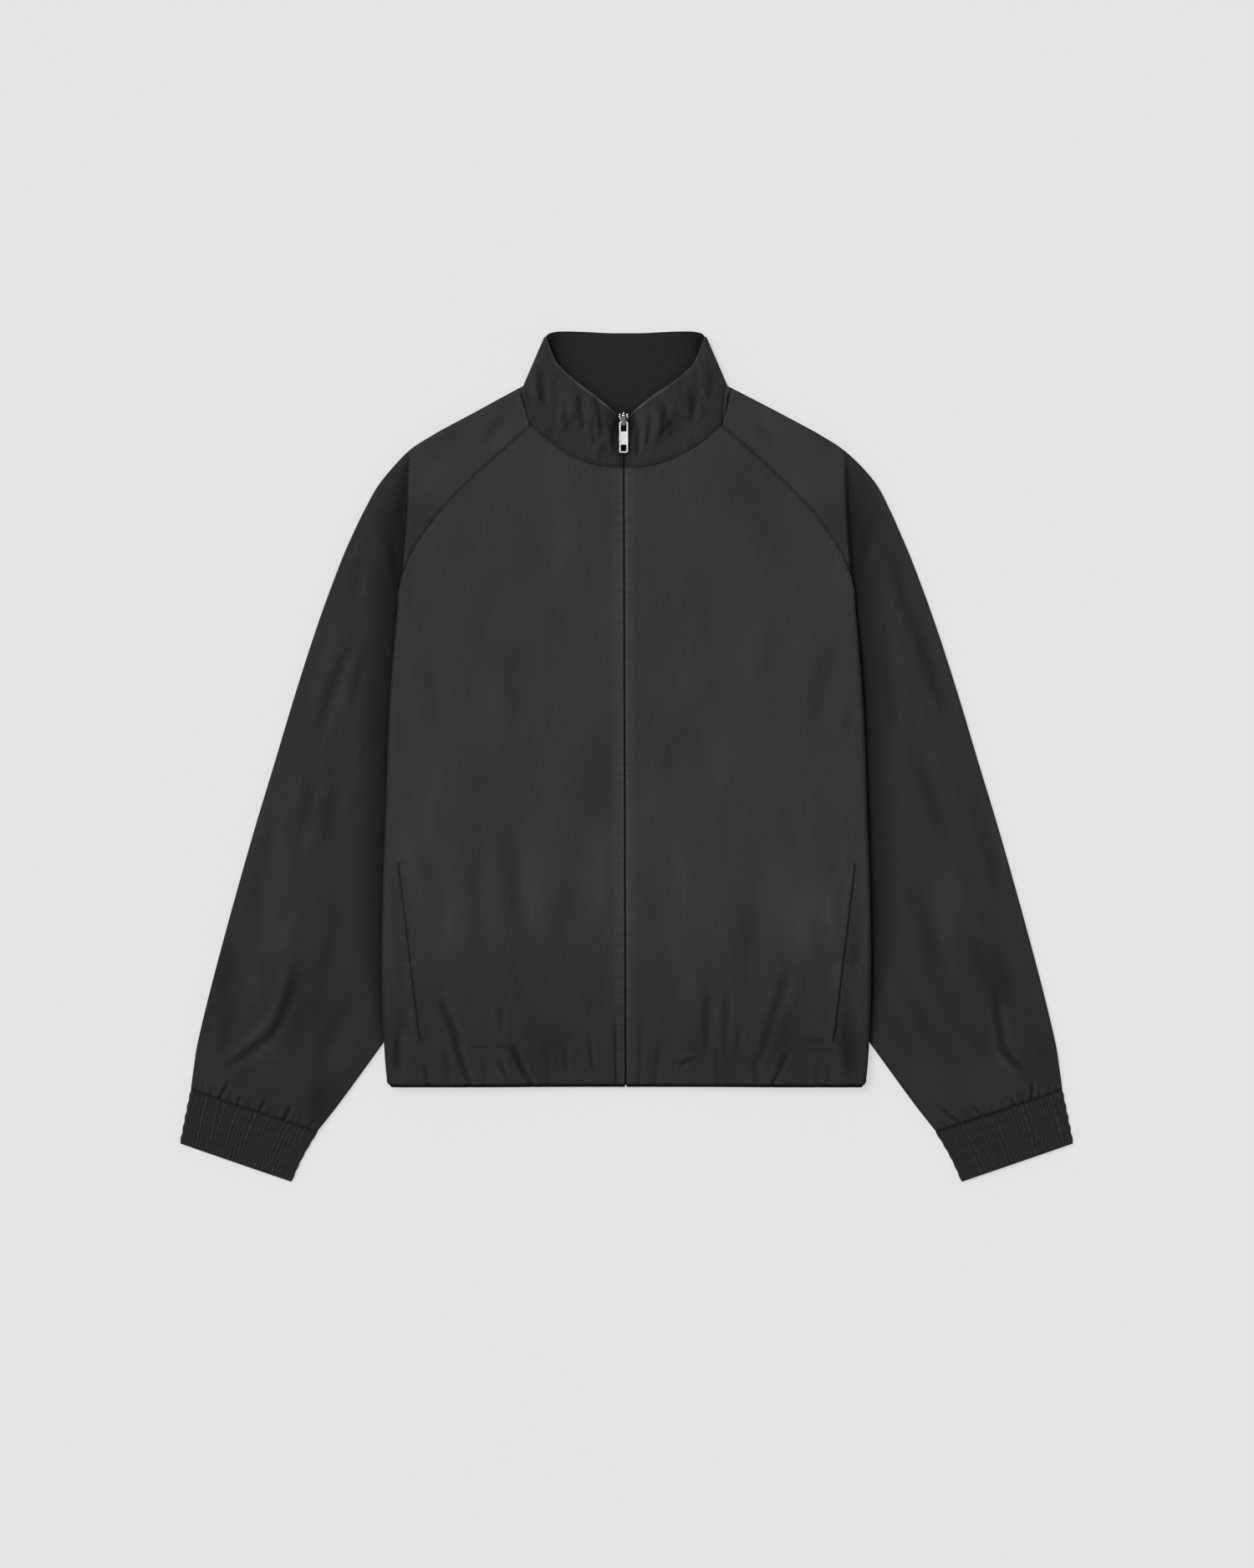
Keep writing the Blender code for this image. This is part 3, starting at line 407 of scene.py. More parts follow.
def crinkleGroup():
    # washed crinkle: two sizes of noise drawn out along the grain, and broad patches of wear
    takes = [("Place", "Vector", None), ("Size", "Float", 9.0)]
    tree, given, out = newGroup("washedCrinkle", takes, ["Height", "Patch"])
    scaled = putNode(tree, "VectorMath", {0: given["Place"], "Scale": 1.0}, operation="SCALE")
    tree.links.new(maths(tree, "DIVIDE", 1.0 / mm, given["Size"]), scaled.inputs["Scale"])
    broad = stretchedNoise(tree, scaled.outputs[0], (1.0, 0.45, 1.0), 3.0, 0.55)
    fine = stretchedNoise(tree, scaled.outputs[0], (3.1, 1.7, 1.0), 2.0, 0.6)
    patch = stretchedNoise(tree, scaled.outputs[0], (0.16, 0.11, 1.0), 2.0, 0.5)
    tree.links.new(maths(tree, "ADD", broad, maths(tree, "MULTIPLY", fine, 0.35)), out["Height"])
    tree.links.new(patch, out["Patch"])
    return tree


def brushedGroup():
    # handled metal: fine scratches drawn out along the part, and soft smudges
    tree, given, out = newGroup("handledMetal", [("Place", "Vector", None)], ["Scratch", "Smudge"])
    tree.links.new(stretchedNoise(tree, given["Place"], (4200.0, 260.0, 900.0), 3.0, 0.6), out["Scratch"])
    tree.links.new(stretchedNoise(tree, given["Place"], (330.0, 330.0, 330.0), 2.0, 0.5), out["Smudge"])
    return tree


weave, crinkle, handled = weaveGroup(), crinkleGroup(), brushedGroup()


# Materials
def startMaterial(name):
    made = bpy.data.materials.new(name)
    made.use_nodes = True
    return made, made.node_tree, made.node_tree.nodes["Principled BSDF"]


def useGroup(tree, group, inputs):
    made = tree.nodes.new("ShaderNodeGroup")
    made.node_tree = group
    for socket, value in inputs.items():
        if isinstance(value, bpy.types.NodeSocket):
            tree.links.new(value, made.inputs[socket])
        else:
            made.inputs[socket].default_value = value
    return made.outputs


def shaded(tree, colour, factor):  # a colour times a mask
    grey = putNode(tree, "CombineColor", {0: factor, 1: factor, 2: factor}).outputs[0]
    settings = {0: 1.0, 6: (*colour, 1.0), 7: grey}
    return putNode(tree, "Mix", settings, data_type="RGBA", blend_type="MULTIPLY").outputs[2]


def ranged(tree, value, low, high):
    settings = {0: value, 1: 0.3, 2: 0.7, 3: low, 4: high}
    return putNode(tree, "MapRange", settings).outputs[0]


clothFinish = {
    "colour": (0.0254, 0.0254, 0.0254),
    "roughness": (0.60, 0.76),
    "specular": 0.08,
    "sheen": 0.05,
    "threadPitch": 0.55,
    "weaveDeep": 0.00004,
    "crinkleSize": 9.0,
    "crinkleDeep": 0.0011,
    "slubTone": 0.07,      # how much lighter and darker the uneven yarn is
    "patchTone": 0.07,
}


def clothMaterial(name, tone=1.0, crinkleShare=1.0, pitch=None):
    made, tree, shader = startMaterial(name)
    finish = clothFinish
    place = putNode(tree, "UVMap", uv_map="cloth").outputs[0]
    woven = useGroup(tree, weave, {"Place": place, "Pitch": pitch or finish["threadPitch"]})
    washed = useGroup(tree, crinkle, {"Place": place, "Size": finish["crinkleSize"]})
    slub = ranged(tree, woven["Slub"], 1.0 - finish["slubTone"], 1.0 + finish["slubTone"])
    patch = ranged(tree, washed["Patch"], 1.0 - finish["patchTone"], 1.0 + finish["patchTone"])
    # the tone attribute holds painted shade in folds, creases, hollows and beside other parts, and painted
    # highlights on ridges and edges
    wearAndPaintedShade = putNode(tree, "Attribute", attribute_name="tone").outputs["Fac"]
    mottled = maths(tree, "MULTIPLY", maths(tree, "MULTIPLY", slub, patch), wearAndPaintedShade)
    colour = tuple(tone * part for part in finish["colour"])
    tree.links.new(shaded(tree, colour, mottled), shader.inputs["Base Color"])
    tree.links.new(ranged(tree, washed["Patch"], *finish["roughness"]), shader.inputs["Roughness"])
    folds = putNode(tree, "Bump", {"Strength": 1.0, "Distance": finish["crinkleDeep"] * crinkleShare,
                                   "Height": washed["Height"]}).outputs[0]
    threads = putNode(tree, "Bump", {"Strength": 1.0, "Distance": finish["weaveDeep"],
                                     "Height": woven["Height"], "Normal": folds}).outputs[0]
    tree.links.new(threads, shader.inputs["Normal"])
    shader.inputs["Specular IOR Level"].default_value = finish["specular"]
    shader.inputs["Sheen Weight"].default_value = finish["sheen"]
    shader.inputs["Sheen Roughness"].default_value = 0.5
    return made


def metalMaterial(name, colour, roughness, darkBelow=None):
    made, tree, shader = startMaterial(name)
    place = putNode(tree, "TexCoord").outputs["Object"]
    wearAndPaintedShade = useGroup(tree, handled, {"Place": place})
    tone = ranged(tree, wearAndPaintedShade["Smudge"], 0.88, 1.08)
    if darkBelow is not None:  # painted shade below this Y, eased over a millimetre
        y = putNode(tree, "SeparateXYZ", {0: place}).outputs[1]
        settings = {0: y, 1: (darkBelow - 0.5) * mm, 2: (darkBelow + 0.5) * mm, 3: 0.12, 4: 1.0}
        tone = maths(tree, "MULTIPLY", tone, putNode(tree, "MapRange", settings).outputs[0])
    tree.links.new(shaded(tree, colour, tone), shader.inputs["Base Color"])
    rough = ranged(tree, wearAndPaintedShade["Scratch"], roughness * 0.75, roughness * 1.3)
    tree.links.new(rough, shader.inputs["Roughness"])
    settings = {"Strength": 0.5, "Distance": 0.00003, "Height": wearAndPaintedShade["Scratch"]}
    tree.links.new(putNode(tree, "Bump", settings).outputs[0], shader.inputs["Normal"])
    shader.inputs["Metallic"].default_value = 1.0
    return made


def threadMaterial():
    # sewing thread: twist lines as a slanted wave, on Object coordinates
    made, tree, shader = startMaterial("sewing thread")
    place = putNode(tree, "TexCoord").outputs["Object"]
    settings = {"Vector": place, "Scale": 1400.0, "Distortion": 1.5}
    twist = putNode(tree, "TexWave", settings, bands_direction="DIAGONAL")
    tone = ranged(tree, twist.outputs[1], 0.8, 1.2)
    tree.links.new(shaded(tree, (0.02, 0.02, 0.02), tone), shader.inputs["Base Color"])
    settings = {"Strength": 0.6, "Distance": 0.00004, "Height": twist.outputs[1]}
    tree.links.new(putNode(tree, "Bump", settings).outputs[0], shader.inputs["Normal"])
    shader.inputs["Roughness"].default_value = 0.6
    shader.inputs["Specular IOR Level"].default_value = 0.25
    return made


bodyCloth = clothMaterial("washed cloth, body")
# the sleeves, collar, cuffs and inside faces are darker copies of the body cloth: painted shade
sleeveCloth = clothMaterial("washed cloth, sleeves", tone=0.78, crinkleShare=0.62)
collarCloth = clothMaterial("washed cloth, collar", tone=0.79)
shadedInsideCloth = clothMaterial("inside of the cloth, painted shade", tone=0.49, crinkleShare=0.5)
cuffCloth = clothMaterial("shirred cuff cloth", tone=0.65, crinkleShare=0.35)
tapeCloth = clothMaterial("zip tape weave", tone=0.35, crinkleShare=0.1, pitch=0.9)
silverMetal = metalMaterial("silver metal", (0.62, 0.62, 0.61), 0.34)
greyMetal = metalMaterial("grey slider metal", (0.10, 0.10, 0.10), 0.42, darkBelow=308.8)
# the zip teeth are a darker copy of the crown's silver metal: painted shade where they lie hidden between the
# front edges
shadedToothMetal = metalMaterial("zip teeth, painted shade", (0.012, 0.012, 0.012), 0.5)
threadFinish = threadMaterial()
print("materials made")


# Front panels
frontPanel = {
    "rows": 344,
    "placketWide": 15.0,
    "placketColumns": 12,
    "middleColumns": 86,
    "edgeColumns": 22,
    "wall": 0.9,
    "turnedUnder": 20.0,
    "turnGrows": 32.0,     # the side is a whole turn this far below the armpit
    "underFrom": 38.0,     # and runs on beneath from here
    "hemDeep": 30.0,
    "hemThick": 1.15,
    "darkFrom": -120.0,    # the cloth grows darker from here down, by this share at the hem
    "darker": 0.33,
    "flat": (0.262, 0.640),
    "area": 0.146,
}

# Where a line across the front that ends at edgeY starts on the zip, and how strongly it bows up
zipEnd = rowsOf(
    "edgeY zipY bow",
    (-307.3, -307.3, 1.0), (0.0, 0.0, 1.0), (112.0, 101.0, 1.1), (166.5, 145.0, 1.2),
    (187.6, 161.0, 1.3), (206.0, 175.0, 1.4), (232.0, 194.0, 1.55), (253.0, 210.0, 1.7),
    (283.5, 235.0, 1.95), (300.8, 255.0, 2.15), (310.0, 270.0, 2.3))

creaseColumns = "x0 y0 x1 y1 wide deep bend held"
dappleColumns = "x0 y0 x1 y1 count long wide high heading"
frontDapples = rowsOf(
    dappleColumns,
    (0.0, -300.0, 220.0, -110.0, 46, 26.0, 8.0, 0.45, 96.0),
    (0.0, -140.0, 220.0, 60.0, 26, 34.0, 11.0, 0.3, 92.0),
    (0.0, 40.0, 210.0, 290.0, 30, 30.0, 12.0, 0.25, 100.0),
    (176.0, -260.0, 224.0, 180.0, 22, 22.0, 7.0, 0.4, 88.0))
frontCreases = {
    1: rowsOf(  # the wearer's left
        creaseColumns,
        (75.0, -206.0, 72.5, -286.0, 3.8, 1.0, 1.0, 0),
        (47.0, -288.0, 67.0, -281.0, 2.4, 1.5, 0.5, 0),
        (95.0, -206.0, 92.5, -288.0, 3.2, 0.9, -1.0, 0),
        (104.5, -244.0, 103.5, -279.0, 2.2, 0.8, 0.0, 0),
        (152.0, -186.0, 131.0, -256.0, 5.0, 1.1, 1.5, 0),
        (137.0, -232.0, 118.0, -294.0, 4.2, 1.0, 2.5, 0),
        (119.0, -274.0, 121.0, -305.0, 3.0, 0.8, 0.0, 1),
        (151.0, -272.0, 137.0, -303.0, 2.4, 1.7, 0.6, 1),
        (173.5, -282.0, 172.5, -306.0, 1.8, -0.8, 0.0, 1),
        (160.0, -264.5, 190.0, -266.0, 2.4, 0.5, 0.8, 0),
        (166.0, -275.0, 192.0, -273.0, 2.2, 0.5, -0.6, 0),
        (206.0, -252.0, 205.0, -305.0, 4.0, 0.3, 0.0, 1),
        (29.0, -262.0, 26.0, -304.0, 2.6, 0.7, 1.0, 1),
        (14.0, -240.0, 12.0, -300.0, 2.2, 0.6, 0.0, 1),
        (188.0, -284.0, 187.0, -305.0, 2.0, 0.9, 0.0, 1),
        (84.0, -268.0, 86.0, -303.0, 2.4, 0.6, -0.5, 1),
        (122.0, -60.0, 112.0, -190.0, 9.0, 0.45, 3.0, 0),
        (70.0, -40.0, 66.0, -150.0, 10.0, 0.3, -3.0, 0),
        (186.0, 120.0, 168.0, 20.0, 10.0, 0.5, 4.0, 0),
        (140.0, 150.0, 128.0, 60.0, 11.0, 0.3, 3.0, 0)),
    -1: rowsOf(  # the wearer's right
        creaseColumns,
        (214.0, -244.0, 213.0, -300.0, 3.6, 1.0, 0.0, 0),
        (188.0, -284.0, 185.0, -304.0, 2.0, 1.2, 0.0, 1),
        (178.0, -214.0, 157.0, -262.0, 3.4, 1.0, 1.2, 0),
        (165.0, -238.0, 146.0, -305.0, 3.0, 1.5, 2.0, 1),
        (146.0, -271.0, 125.0, -270.0, 1.6, 1.0, 0.5, 0),
        (117.5, -226.0, 116.0, -260.0, 2.4, 1.1, 0.0, 0),
        (126.0, -268.0, 104.0, -276.0, 2.4, 0.8, -1.0, 0),
        (108.0, -262.0, 88.5, -306.0, 2.9, 1.9, 2.0, 1),
        (120.0, -278.0, 110.5, -303.0, 1.9, 1.3, 0.0, 0),
        (57.5, -266.0, 56.0, -300.0, 2.0, 1.1, 0.0, 0),
        (36.0, -252.0, 30.0, -300.0, 2.0, 1.3, 0.5, 0),
        (10.6, -234.0, 9.3, -305.0, 1.6, 1.6, 0.0, 1),
        (76.0, -262.0, 73.0, -303.0, 2.4, 0.5, -0.5, 1),
        (169.0, -266.0, 165.0, -305.0, 2.2, 0.7, 0.0, 1),
        (134.0, -276.0, 131.0, -304.0, 1.8, 0.7, 0.4, 1),
        (108.0, -40.0, 100.0, -172.0, 9.0, 0.5, 3.0, 0),
        (147.0, -66.0, 139.0, -200.0, 8.0, 0.45, -2.0, 0),
        (64.0, -90.0, 60.0, -190.0, 10.0, 0.3, 2.0, 0),
        (188.0, 116.0, 172.0, 10.0, 10.0, 0.45, 4.0, 0),
        (120.0, 190.0, 150.0, 96.0, 12.0, 0.3, -4.0, 0)),
}

frontShades = {
    1: rowsOf("x y long wide heading share",
              (144.0, -260.0, 26.0, 12.0, 68.0, 0.30), (74.0, -246.0, 30.0, 5.0, 90.0, 0.16),
              (207.0, -278.0, 24.0, 8.0, 90.0, 0.14), (176.0, -272.0, 8.0, 15.0, 90.0, 0.12)),
    -1: rowsOf("x y long wide heading share",
               (214.0, -270.0, 24.0, 5.0, 90.0, 0.30), (163.0, -252.0, 30.0, 7.0, 72.0, 0.18),
               (100.0, -284.0, 20.0, 7.0, 68.0, 0.20), (117.0, -243.0, 14.0, 4.0, 90.0, 0.12)),
}

pocket = {
    "top": (213.3, -98.0),
    "low": (193.0, -265.6),
    "wide": 12.0,
    "wall": 0.7,
    "lip": 0.9,            # how proud the lip stands at the slit
    "sunk": 0.12,          # how far its other edges go into the front's own face
    "long": 168.0,
    "slitDeep": 0.5,
    "slitWide": 1.3,
    "rows": 120,
    "columns": 15,
    "slitShade": {1: 0.8, -1: 0.93},
}


def frontFolds(side, x, y):
    return creases(frontCreases[side], x, y, side) + dapples(x, y, frontDapples, 11 + side)


def pocketPuckers(side, part, off):  # small puckers across the lower end of the slit's stitching
    return puckers(part * pocket["long"], off * 0.8, 41 + side, 4.6, (96.0, 166.0), 16.0, 0.4)


def towardHem(y):  # the cloth grows darker towards the hem
    return 1.0 - frontPanel["darker"] * ease((frontPanel["darkFrom"] - y) / 170.0)


def pocketPlace(x, y):  # how far along the slit (0 to 1) a place is, and how far outside it
    runX, runY = (pocket["low"][k] - pocket["top"][k] for k in (0, 1))
    length = math.hypot(runX, runY)
    part = ((x - pocket["top"][0]) * runX + (y - pocket["top"][1]) * runY) / length ** 2
    outside = ((x - pocket["top"][0]) * -runY + (y - pocket["top"][1]) * runX) / length
    return part, outside


def frontRelief(side, x, y):
    # what lies on the front's plain height: creases, dapples, the raised placket with its puckers, the
    # hem's puckers, the pocket slit, and the dips at the neck seam and the zip edge, each a bell
    total = frontFolds(side, x, y)
    fromZip = x - side * zipX(y) - lie["edgeFromZip"]
    total += 0.35 * (1.0 - ease((fromZip - 8.0) / 4.0))
    total += puckers(y, fromZip, 21 + side, 4.6, (-303.0, 262.0), 17.0, 0.8)
    total -= 0.6 * hump(fromZip / 0.7)
    hem = ease((lie["hemY"] + 46.0 - y) / 46.0)
    alongHem = puckers(x, (y - lie["hemY"]) * 0.9, 31 + side, 12.0, (16.0, 214.0), 30.0, 0.35)
    total += alongHem * (0.3 + 0.7 * hem)
    part, outside = pocketPlace(x, y)
    within = ease((part + 0.02) / 0.06) * ease((1.02 - part) / 0.06)
    total -= pocket["slitDeep"] * hump((outside - 0.8) / pocket["slitWide"]) * within
    total -= 0.5 * within * ease((outside - 1.0) / 6.0) * (1.0 - ease((outside - 10.0) / 12.0))
    total += pocketPuckers(side, part, np.minimum(outside, 0.0))
    share = np.clip((x - side * zipX(y)) / (lie["neckX"] - side * zipX(y)), 0.0, 1.2)
    toNeck = (lie["neckLowY"] + lie["neckRise"] * share ** lie["neckPower"] - y) * 0.85
    total -= 1.1 * hump(toNeck / 1.7)
    return total + puckers(x, toNeck, 51 + side, 6.5, (4.0, 86.0), 9.0, 0.35) * ease((300.0 - x) / 30.0)


def frontGrid(side):
    # One line for each row, from the zip edge out: level to the side edge, then (below the armpit) a half
    # circle down round it and a short straight run back under. Above the armpit it ends on the raglan seam.
    size = frontPanel
    even = np.linspace(0.0, 1.0, int(size["rows"] * 0.75))
    sideY = blend(lie["hemY"], lie["armpitY"], 0.62 * even + 0.38 * even ** 2)
    sideRun = through(sideEdge["y"], sideEdge["x"], sideY)
    row = np.linspace(frontSeamRow, 0.0, size["rows"] - len(sideY) + 1)[1:]
    numbers = np.arange(frontSeamRow + 1.0)
    seamX = through(numbers, sleeveLines["frontX"][:frontSeamRow + 1], row)
    seamY = through(numbers, sleeveLines["frontY"][:frontSeamRow + 1], row)
    x1 = np.concatenate((sideRun, seamX))[:, None]
    y1 = np.concatenate((sideY, seamY))[:, None]
    y0 = through(zipEnd["edgeY"], zipEnd["zipY"], y1)
    bow = through(zipEnd["edgeY"], zipEnd["bow"], y1)
    x0 = side * zipX(y0) + lie["edgeFromZip"]
    high = frontHeight(x1, y1)
    radius = (high - lie["underLayer"]) / 2.0
    turned = ease((lie["armpitY"] - y1) / size["turnGrows"])
    under = size["turnedUnder"] * ease((lie["armpitY"] - size["underFrom"] - y1) / 40.0)
    flat = x1 - radius * turned - x0
    end = flat + math.pi * radius * turned + under
    tail = np.maximum(end - flat + 6.0, 24.0)
    stretches = ("placketColumns", "middleColumns", "edgeColumns")
    steps = [np.linspace(0.0, 1.0, size[k] + 1)[None] for k in stretches]
    place = np.concatenate((
        steps[0] ** 1.4 * size["placketWide"] + 0.0 * end,
        blend(size["placketWide"], end - tail, steps[1][:, 1:]),
        blend(end - tail, end, steps[2][:, 1:])), axis=1)
    part = np.clip(place / flat, 0.0, 1.0)
    x = x0 + part * flat
    y = y0 + (y1 - y0) * part ** bow
    angle = np.clip((place - flat) / radius, 0.0, math.pi)
    back = np.maximum(place - flat - math.pi * radius, 0.0)
    above = 1.0 - turned
    relief = frontRelief(side, x, y) * blend(1.0 - ease((place - flat + 12.0) / 12.0), 1.0, above)
    toSeam = np.where(turned > 0.5, 99.0, flat - place)
    relief = relief - 0.8 * hump(toSeam / 1.6) * ease((y1 - lie["armpitY"] + 10.0) / 10.0)
    relief = relief + puckers(y1, toSeam, 61 + side, 7.0, (170.0, 306.0), 8.0, 0.3)
    # painted shade in the hem's hollows, round the turned side edge and along the hem's lower edge, and a
    # painted highlight just beside the zip edge
    lower = towardHem(y) * shades(frontShades[side], x, y)
    lower = lower * (1.0 - 0.45 * np.sin(np.minimum(angle, 1.57)))
    lower = lower * (1.0 + 0.3 * hump((x - x0 - 1.4) / 0.9))
    hemEdge = 1.0 - 0.97 * ease((lie["hemY"] + 2.7 - y) / 1.0)
    z = np.where(place > flat, high - radius * (1.0 - np.cos(angle)), frontHeight(x, y) + relief)
    x = np.where(place > flat, x + radius * np.sin(angle) - back, x)
    return np.stack([x, y, z], axis=2), placed(x0 + place, y, toneOf(relief) * lower * hemEdge)


def makeFront(side, word):
    points, place = turnedHem(*frontGrid(side), frontPanel["hemDeep"], 12, frontPanel["hemThick"])
    points, place = mirrored(points, side), mirrored(place, side)
    piece = addCloth("front" + word, points, place, bodyCloth, frontPanel["wall"])
    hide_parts("front_" + word.lower())
    return piece


fronts = {side: makeFront(side, word) for side, word in ((1, "Left"), (-1, "Right"))}
print("front panels made")


# Back panel
backPanel = {
    "sideRows": 150,
    "seamRows": 52,
    "columns": 104,
    "wall": 0.9,
    "hemDeep": 28.0,
    "hemThick": 1.05,
    "flat": (0.442, 0.640),
    "area": 0.262,
}

backSide = rowsOf(
    "y x",
    (-305.5, 212.0), (-285.0, 219.5), (-240.0, 221.5), (-180.0, 221.5), (-110.0, 221.0), (-40.0, 218.2),
    (0.0, 216.3), (24.0, 212.0), (34.0, 198.0), (42.0, 180.0), (49.0, 163.0), (56.0, 153.0),
    (64.0, 151.0), (79.0, 154.0), (97.0, 161.0))

collarEdge = rowsOf(  # the free edge from the zip round to the side fold
    "part x y z",
    (0.00, 8.0, 320.0, 6.1), (0.14, 15.5, 327.0, 6.6), (0.30, 25.7, 335.6, 7.4), (0.56, 43.0, 348.0, 8.4),
    (0.75, 57.2, 360.3, 9.0), (0.88, 67.0, 371.8, 9.1), (1.00, 74.8, 391.4, 9.0))

# The back lies on the floor, so its creases are pressed up into it
backCreases = rowsOf(
    creaseColumns,
    (-120.0, 210.0, -60.0, 120.0, 7.0, 0.5, 5.0, 0),
    (115.0, 205.0, 70.0, 96.0, 8.0, 0.5, -6.0, 0),
    (-20.0, 60.0, 34.0, -60.0, 9.0, 0.4, 6.0, 0),
    (-60.0, -180.0, -52.0, -302.0, 5.0, 0.6, 3.0, 1),
    (16.0, -196.0, 22.0, -302.0, 5.0, 0.7, -3.0, 1),
    (68.0, -210.0, 60.0, -302.0, 4.0, 0.5, 2.0, 1),
    (-14.0, -236.0, -16.0, -302.0, 4.0, 0.5, 1.0, 1),
    (-84.0, -240.0, -80.0, -302.0, 4.0, 0.5, -1.0, 1))


def underEdge(x, y):  # painted shade on the inside close below the collar's free edge: a bell of the distance to it
    part = np.linspace(0.0, 1.0, 50)
    edgeX, edgeY = (through(collarEdge["part"], collarEdge[k], part) for k in "xy")
    away = np.min(np.hypot(np.abs(x)[..., None] - edgeX, y[..., None] - edgeY), axis=-1)
    return 1.0 - 0.4 * hump(away / 5.0)


def backGrid():
    # lines straight across, bowed up at their ends near the neck, over the plain back height
    size = backPanel
    run = lengthRun(backSide["x"], backSide["y"])
    s = np.linspace(0.0, run[-1], size["sideRows"])
    row = np.linspace(backSeamRow, 0.0, size["seamRows"] + 1)[1:]
    numbers = np.arange(backSeamRow + 1.0)
    x1 = np.concatenate((np.interp(s, run, backSide["x"]),
                         through(numbers, sleeveLines["backX"][:backSeamRow + 1], row)))[:, None]
    y1 = np.concatenate((np.interp(s, run, backSide["y"]),
                         through(numbers, sleeveLines["backY"][:backSeamRow + 1], row)))[:, None]
    x = x1 * np.linspace(-1.0, 1.0, size["columns"])[None]
    y = y1 + lie["backDrop"] * (x ** 2 - x1 ** 2) / lie["footX"] ** 2 * ease((y1 - 240.0) / 102.0)
    y = y + 0.65 * ease((y1 - 332.0) / 8.0)
    z = backHeight(x, y)
    pressed = np.abs(creases(backCreases, x, y)) * ease((z - lie["liftedLayer"]) / -1.0)
    hem = puckers(x, y - lie["hemY"], 71, 13.0, (-200.0, 200.0), 40.0, 0.6)
    raised = 0.66 * ease((y - 318.0) / 12.0)  # level with the collar's seam
    # painted shade on the inside below the neck, where the collar stands over it, and under the collar's free
    # edge
    belowNeck = ease((345.0 - y) / 40.0) * ease((y - 230.0) / 20.0)
    tone = toneOf(-0.6 * pressed - 0.4 * hem) * (1.0 - 0.26 * belowNeck) * underEdge(x, y)
    return np.stack([x, y, z + np.clip(pressed + hem, 0.0, 1.4) + raised], axis=2), placed(x, y, tone)


backPoints, backPlace = turnedHem(*backGrid(), backPanel["hemDeep"], 10, backPanel["hemThick"], upward=1.0)
back = addCloth("backPanel", backPoints, backPlace, shadedInsideCloth, backPanel["wall"], inner=bodyCloth)
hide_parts("back")
print("back panel made")


# Sleeves
sleeve = {
    "rows": 262,
    "frontColumns": 88,
    "turnColumns": 11,
    "backColumns": 28,
    "wall": 0.9,
    "flat": (0.480, 0.760),
    "area": 0.210,
}

sleeveCreases = {
    1: rowsOf(
        creaseColumns,
        (250.0, 166.0, 300.0, 26.0, 6.0, 0.9, 3.0, 0),
        (262.0, 44.0, 304.0, -92.0, 7.0, 0.7, -4.0, 0),
        (232.0, 120.0, 252.0, 10.0, 6.0, 0.6, 3.0, 0),
        (318.0, -20.0, 346.0, -130.0, 7.0, 0.6, 3.0, 0),
        (262.0, -96.0, 300.0, -206.0, 9.0, 0.6, -5.0, 0),
        (332.0, -160.0, 362.0, -250.0, 7.0, 0.8, 4.0, 0),
        (246.0, -190.0, 286.0, -270.0, 8.0, 0.5, 3.0, 0),
        (344.5, -203.0, 353.0, -282.0, -4.0, 1.3, -2.0, 0),
        (348.0, -262.0, 377.0, -296.0, -3.6, 1.5, -5.5, 0),
        (310.0, -236.0, 336.0, -300.0, 7.0, 0.3, 4.0, 0),
        (228.0, 222.0, 216.0, 150.0, 5.0, 0.9, -2.0, 0),
        (240.0, 206.0, 262.0, 130.0, 6.0, 0.6, 2.0, 0),
        (112.0, 320.0, 140.0, 282.0, 5.0, 0.4, 2.0, 0),
        (106.4, 372.0, 89.0, 309.0, 1.3, 2.6, 0.0, 1)),
    -1: rowsOf(
        creaseColumns,
        (248.0, 132.0, 293.0, 4.0, 6.0, 0.9, 3.0, 0),
        (290.0, 10.0, 316.0, -112.0, 7.0, 0.8, -3.0, 0),
        (238.0, 116.0, 258.0, 38.0, 5.0, 0.7, 2.0, 0),
        (262.0, 20.0, 280.0, -90.0, 7.0, 0.6, 4.0, 0),
        (330.0, -60.0, 352.0, -168.0, 7.0, 0.6, 3.0, 0),
        (268.0, -120.0, 292.0, -216.0, 9.0, 0.5, -5.0, 0),
        (304.0, -176.0, 340.0, -276.0, -5.0, 1.6, -5.8, 0),
        (318.0, -243.0, 378.0, -291.0, -4.5, 1.8, -3.8, 0),
        (364.0, -214.0, 382.0, -280.0, 6.0, 0.8, -2.0, 0),
        (250.0, -214.0, 290.0, -292.0, 8.0, 0.6, 3.0, 0),
        (226.0, 224.0, 214.0, 152.0, 5.0, 0.8, -2.0, 0),
        (236.0, 212.0, 256.0, 140.0, 6.0, 0.6, 2.0, 0),
        (110.0, 322.0, 134.0, 286.0, 5.0, 0.4, 2.0, 0),
        (104.6, 372.0, 89.2, 308.0, 1.3, 2.6, 0.0, 1)),
}

sleeveShades = {
    1: rowsOf("x y long wide heading share",
              (338.0, -232.0, 30.0, 12.0, 95.0, 0.2), (300.0, -190.0, 50.0, 16.0, 110.0, 0.1)),
    -1: rowsOf("x y long wide heading share",
               (304.0, -246.0, 34.0, 21.0, 104.0, 0.28), (372.0, -262.0, 26.0, 8.0, 110.0, 0.12)),
}

underDapples = rowsOf(
    dappleColumns,
    (150.0, -330.0, 400.0, 300.0, 60, 34.0, 10.0, 0.6, 110.0))

